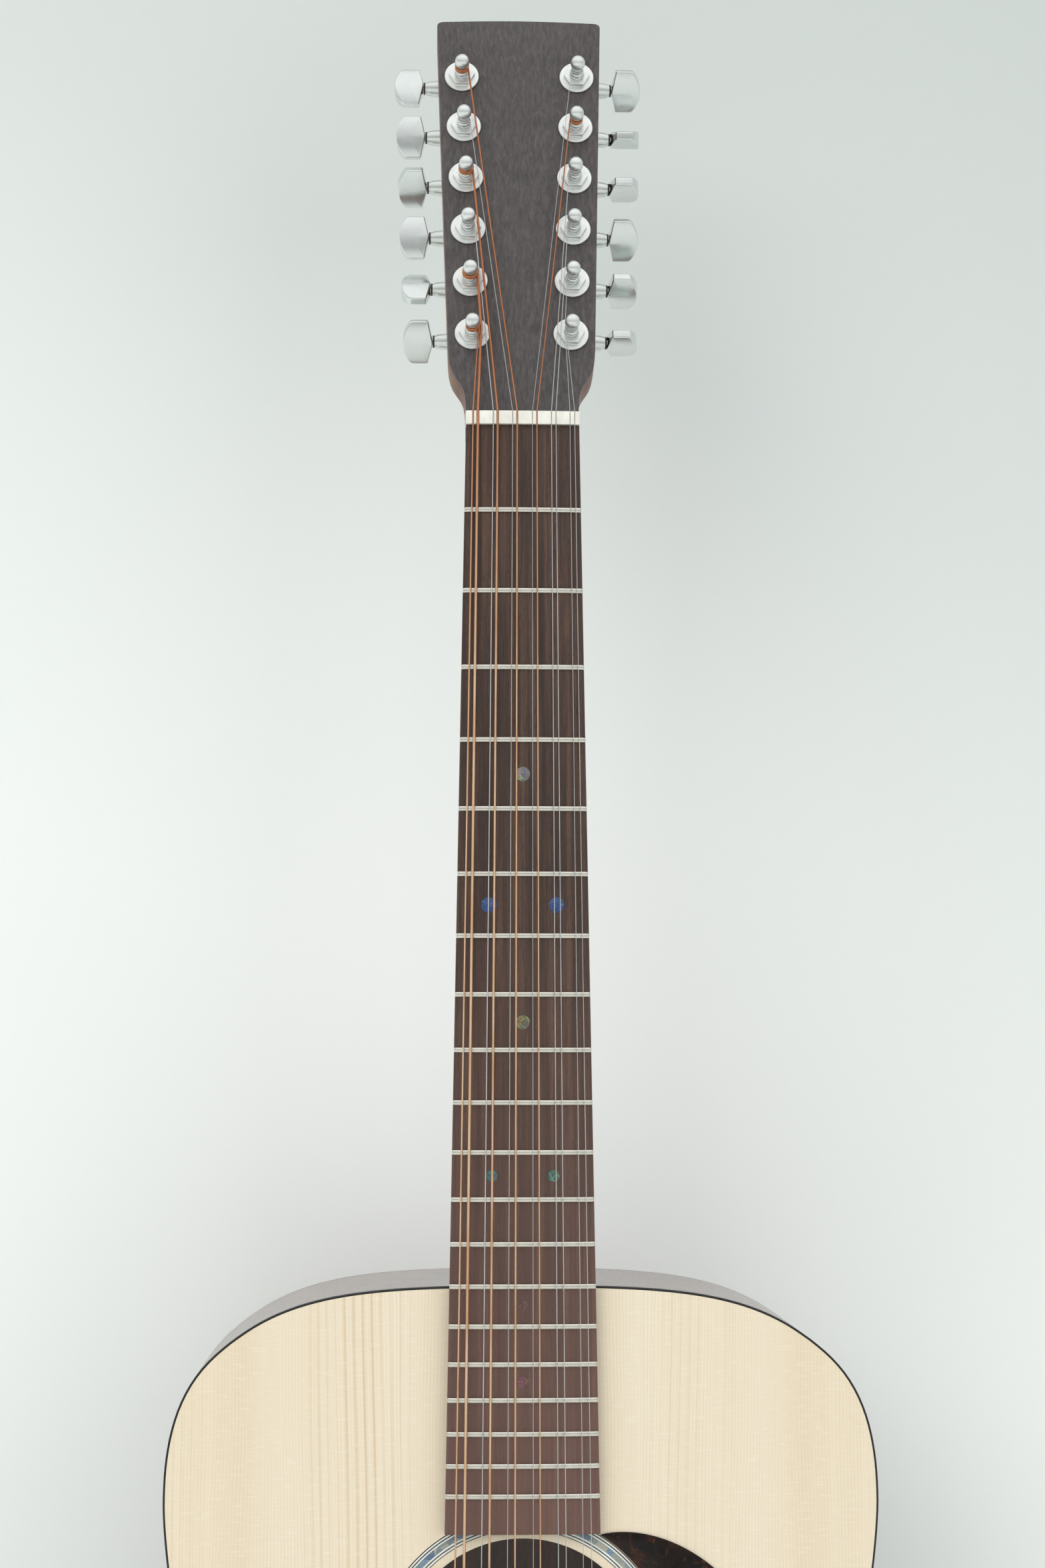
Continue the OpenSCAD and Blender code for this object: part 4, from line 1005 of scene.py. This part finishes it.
floor_z = low("end_pin").z * MM - 0.004
wall_y = high("end_pin").y * MM + 0.12
reach = 6.0
panel("floor", [(-reach, -reach, floor_z), (reach, -reach, floor_z), (reach, reach, floor_z),
                (-reach, reach, floor_z)], plain("pale_floor", (224, 226, 224)))
backdrop = plain("pale_wall", (222, 228, 225))
spot = backdrop.node("ShaderNodeSeparateXYZ", {"Vector": backdrop.place}).outputs
# Painted shade on the wall: its colour goes darker towards the top and the right, and lighter towards the
# bottom and the left.
rise = backdrop.span(backdrop.maths("ADD", spot["Z"], backdrop.maths("MULTIPLY", spot["X"], 0.5)),
                     -0.9, 0.5, 0.0, 1.0)
painted_wall_shading = backdrop.ramp(rise, (0.0, (250, 255, 253)), (0.45, (240, 244, 242)), (0.72, (214, 219, 217)),
                     (1.0, (198, 204, 202)))
# Painted light on the wall: a patch mixed towards white near the centreline, about 0.28 m below the nut. It
# fades sideways and up and down.
painted_glow_across = backdrop.span(backdrop.maths("ABSOLUTE", spot["X"]), 0.08, 0.32, 0.4, 0.0)
level = backdrop.span(backdrop.maths("ABSOLUTE", backdrop.maths("ADD", spot["Z"], 0.28)), 0.1, 0.42, 1.0, 0.0)
backdrop.colour(backdrop.blend(backdrop.maths("MULTIPLY", painted_glow_across, level), painted_wall_shading, srgb(255, 255, 255)))
clear = backdrop.node("ShaderNodeBsdfTransparent").outputs[0]
facing = backdrop.node("ShaderNodeNewGeometry").outputs["Backfacing"]
one_sided = backdrop.node("ShaderNodeMixShader", {0: facing})
output = backdrop.tree.nodes["Material Output"]
backdrop.tree.links.new(backdrop.shader.outputs[0], one_sided.inputs[1])
backdrop.tree.links.new(clear, one_sided.inputs[2])
backdrop.tree.links.new(one_sided.outputs[0], output.inputs["Surface"])
wall_top = 2.4
panel("wall", [(-3, wall_y, floor_z), (3, wall_y, floor_z), (3, wall_y, wall_top), (-3, wall_y, wall_top)],
      backdrop)


def area_light(name, place, aim, size, power, colour=(1, 1, 1)):
    data = bpy.data.lights.new(name, "AREA")
    data.shape = "RECTANGLE"
    data.size, data.size_y = size
    data.energy = power
    data.color = colour
    made = bpy.data.objects.new(name, data)
    made.location = place
    made.rotation_euler = (Vector(aim) - Vector(place)).to_track_quat("-Z", "Y").to_euler()
    made.visible_glossy = False
    bpy.context.scene.collection.objects.link(made)


middle = (0, 0, -0.25)
area_light("key", (-1.5, -2.2, 1.2), middle, (1.8, 1.8), 26, (1.0, 0.99, 0.97))
area_light("fill", (1.8, -2.2, 0.1), middle, (1.6, 2.0), 12, (0.97, 0.99, 1.0))
area_light("rear", (0.6, 2.2, 1.2), (0, 0, -0.4), (2.2, 1.6), 16)

world = bpy.data.worlds.new("studio")
bpy.context.scene.world = world
world.use_nodes = True
tree = world.node_tree
sky = tree.nodes["Background"]
where = tree.nodes.new("ShaderNodeTexCoord")
height = tree.nodes.new("ShaderNodeSeparateXYZ")
shades = tree.nodes.new("ShaderNodeValToRGB")
spread = tree.nodes.new("ShaderNodeMapRange")
spread.inputs["From Min"].default_value = -1
tree.links.new(where.outputs["Generated"], height.inputs[0])
tree.links.new(height.outputs["Z"], spread.inputs["Value"])
tree.links.new(spread.outputs["Result"], shades.inputs["Fac"])
tree.links.new(shades.outputs["Color"], sky.inputs["Color"])
levels = ((0.0, 0.85), (0.115, 0.68), (0.29, 0.2), (0.41, 0.27), (0.67, 0.7), (0.885, 1.0), (1.0, 1.0))
while len(shades.color_ramp.elements) < len(levels):
    shades.color_ramp.elements.new(0.5)
for element, (place, level) in zip(shades.color_ramp.elements, levels):
    element.position = place
    element.color = (level * 0.985, level, level * 0.99, 1)
sky.inputs["Strength"].default_value = 1.12

camera_data = bpy.data.cameras.new("camera")
camera_data.lens = 65.84
camera_data.sensor_width = 36
camera = bpy.data.objects.new("camera", camera_data)
bpy.context.scene.collection.objects.link(camera)
camera_place = (-0.04396, -1.18328, -0.26384)
yaw, pitch = 0.0370, 0.0944
right = Vector((math.cos(yaw), -math.sin(yaw), 0))
forward = Vector((math.sin(yaw) * math.cos(pitch), math.cos(yaw) * math.cos(pitch), math.sin(pitch)))
upward = right.cross(forward)
camera.matrix_world = Matrix.Translation(camera_place) @ Matrix(
    (right, upward, -forward)).transposed().to_4x4()
bpy.context.scene.camera = camera
bpy.context.scene.view_settings.view_transform = "Standard"
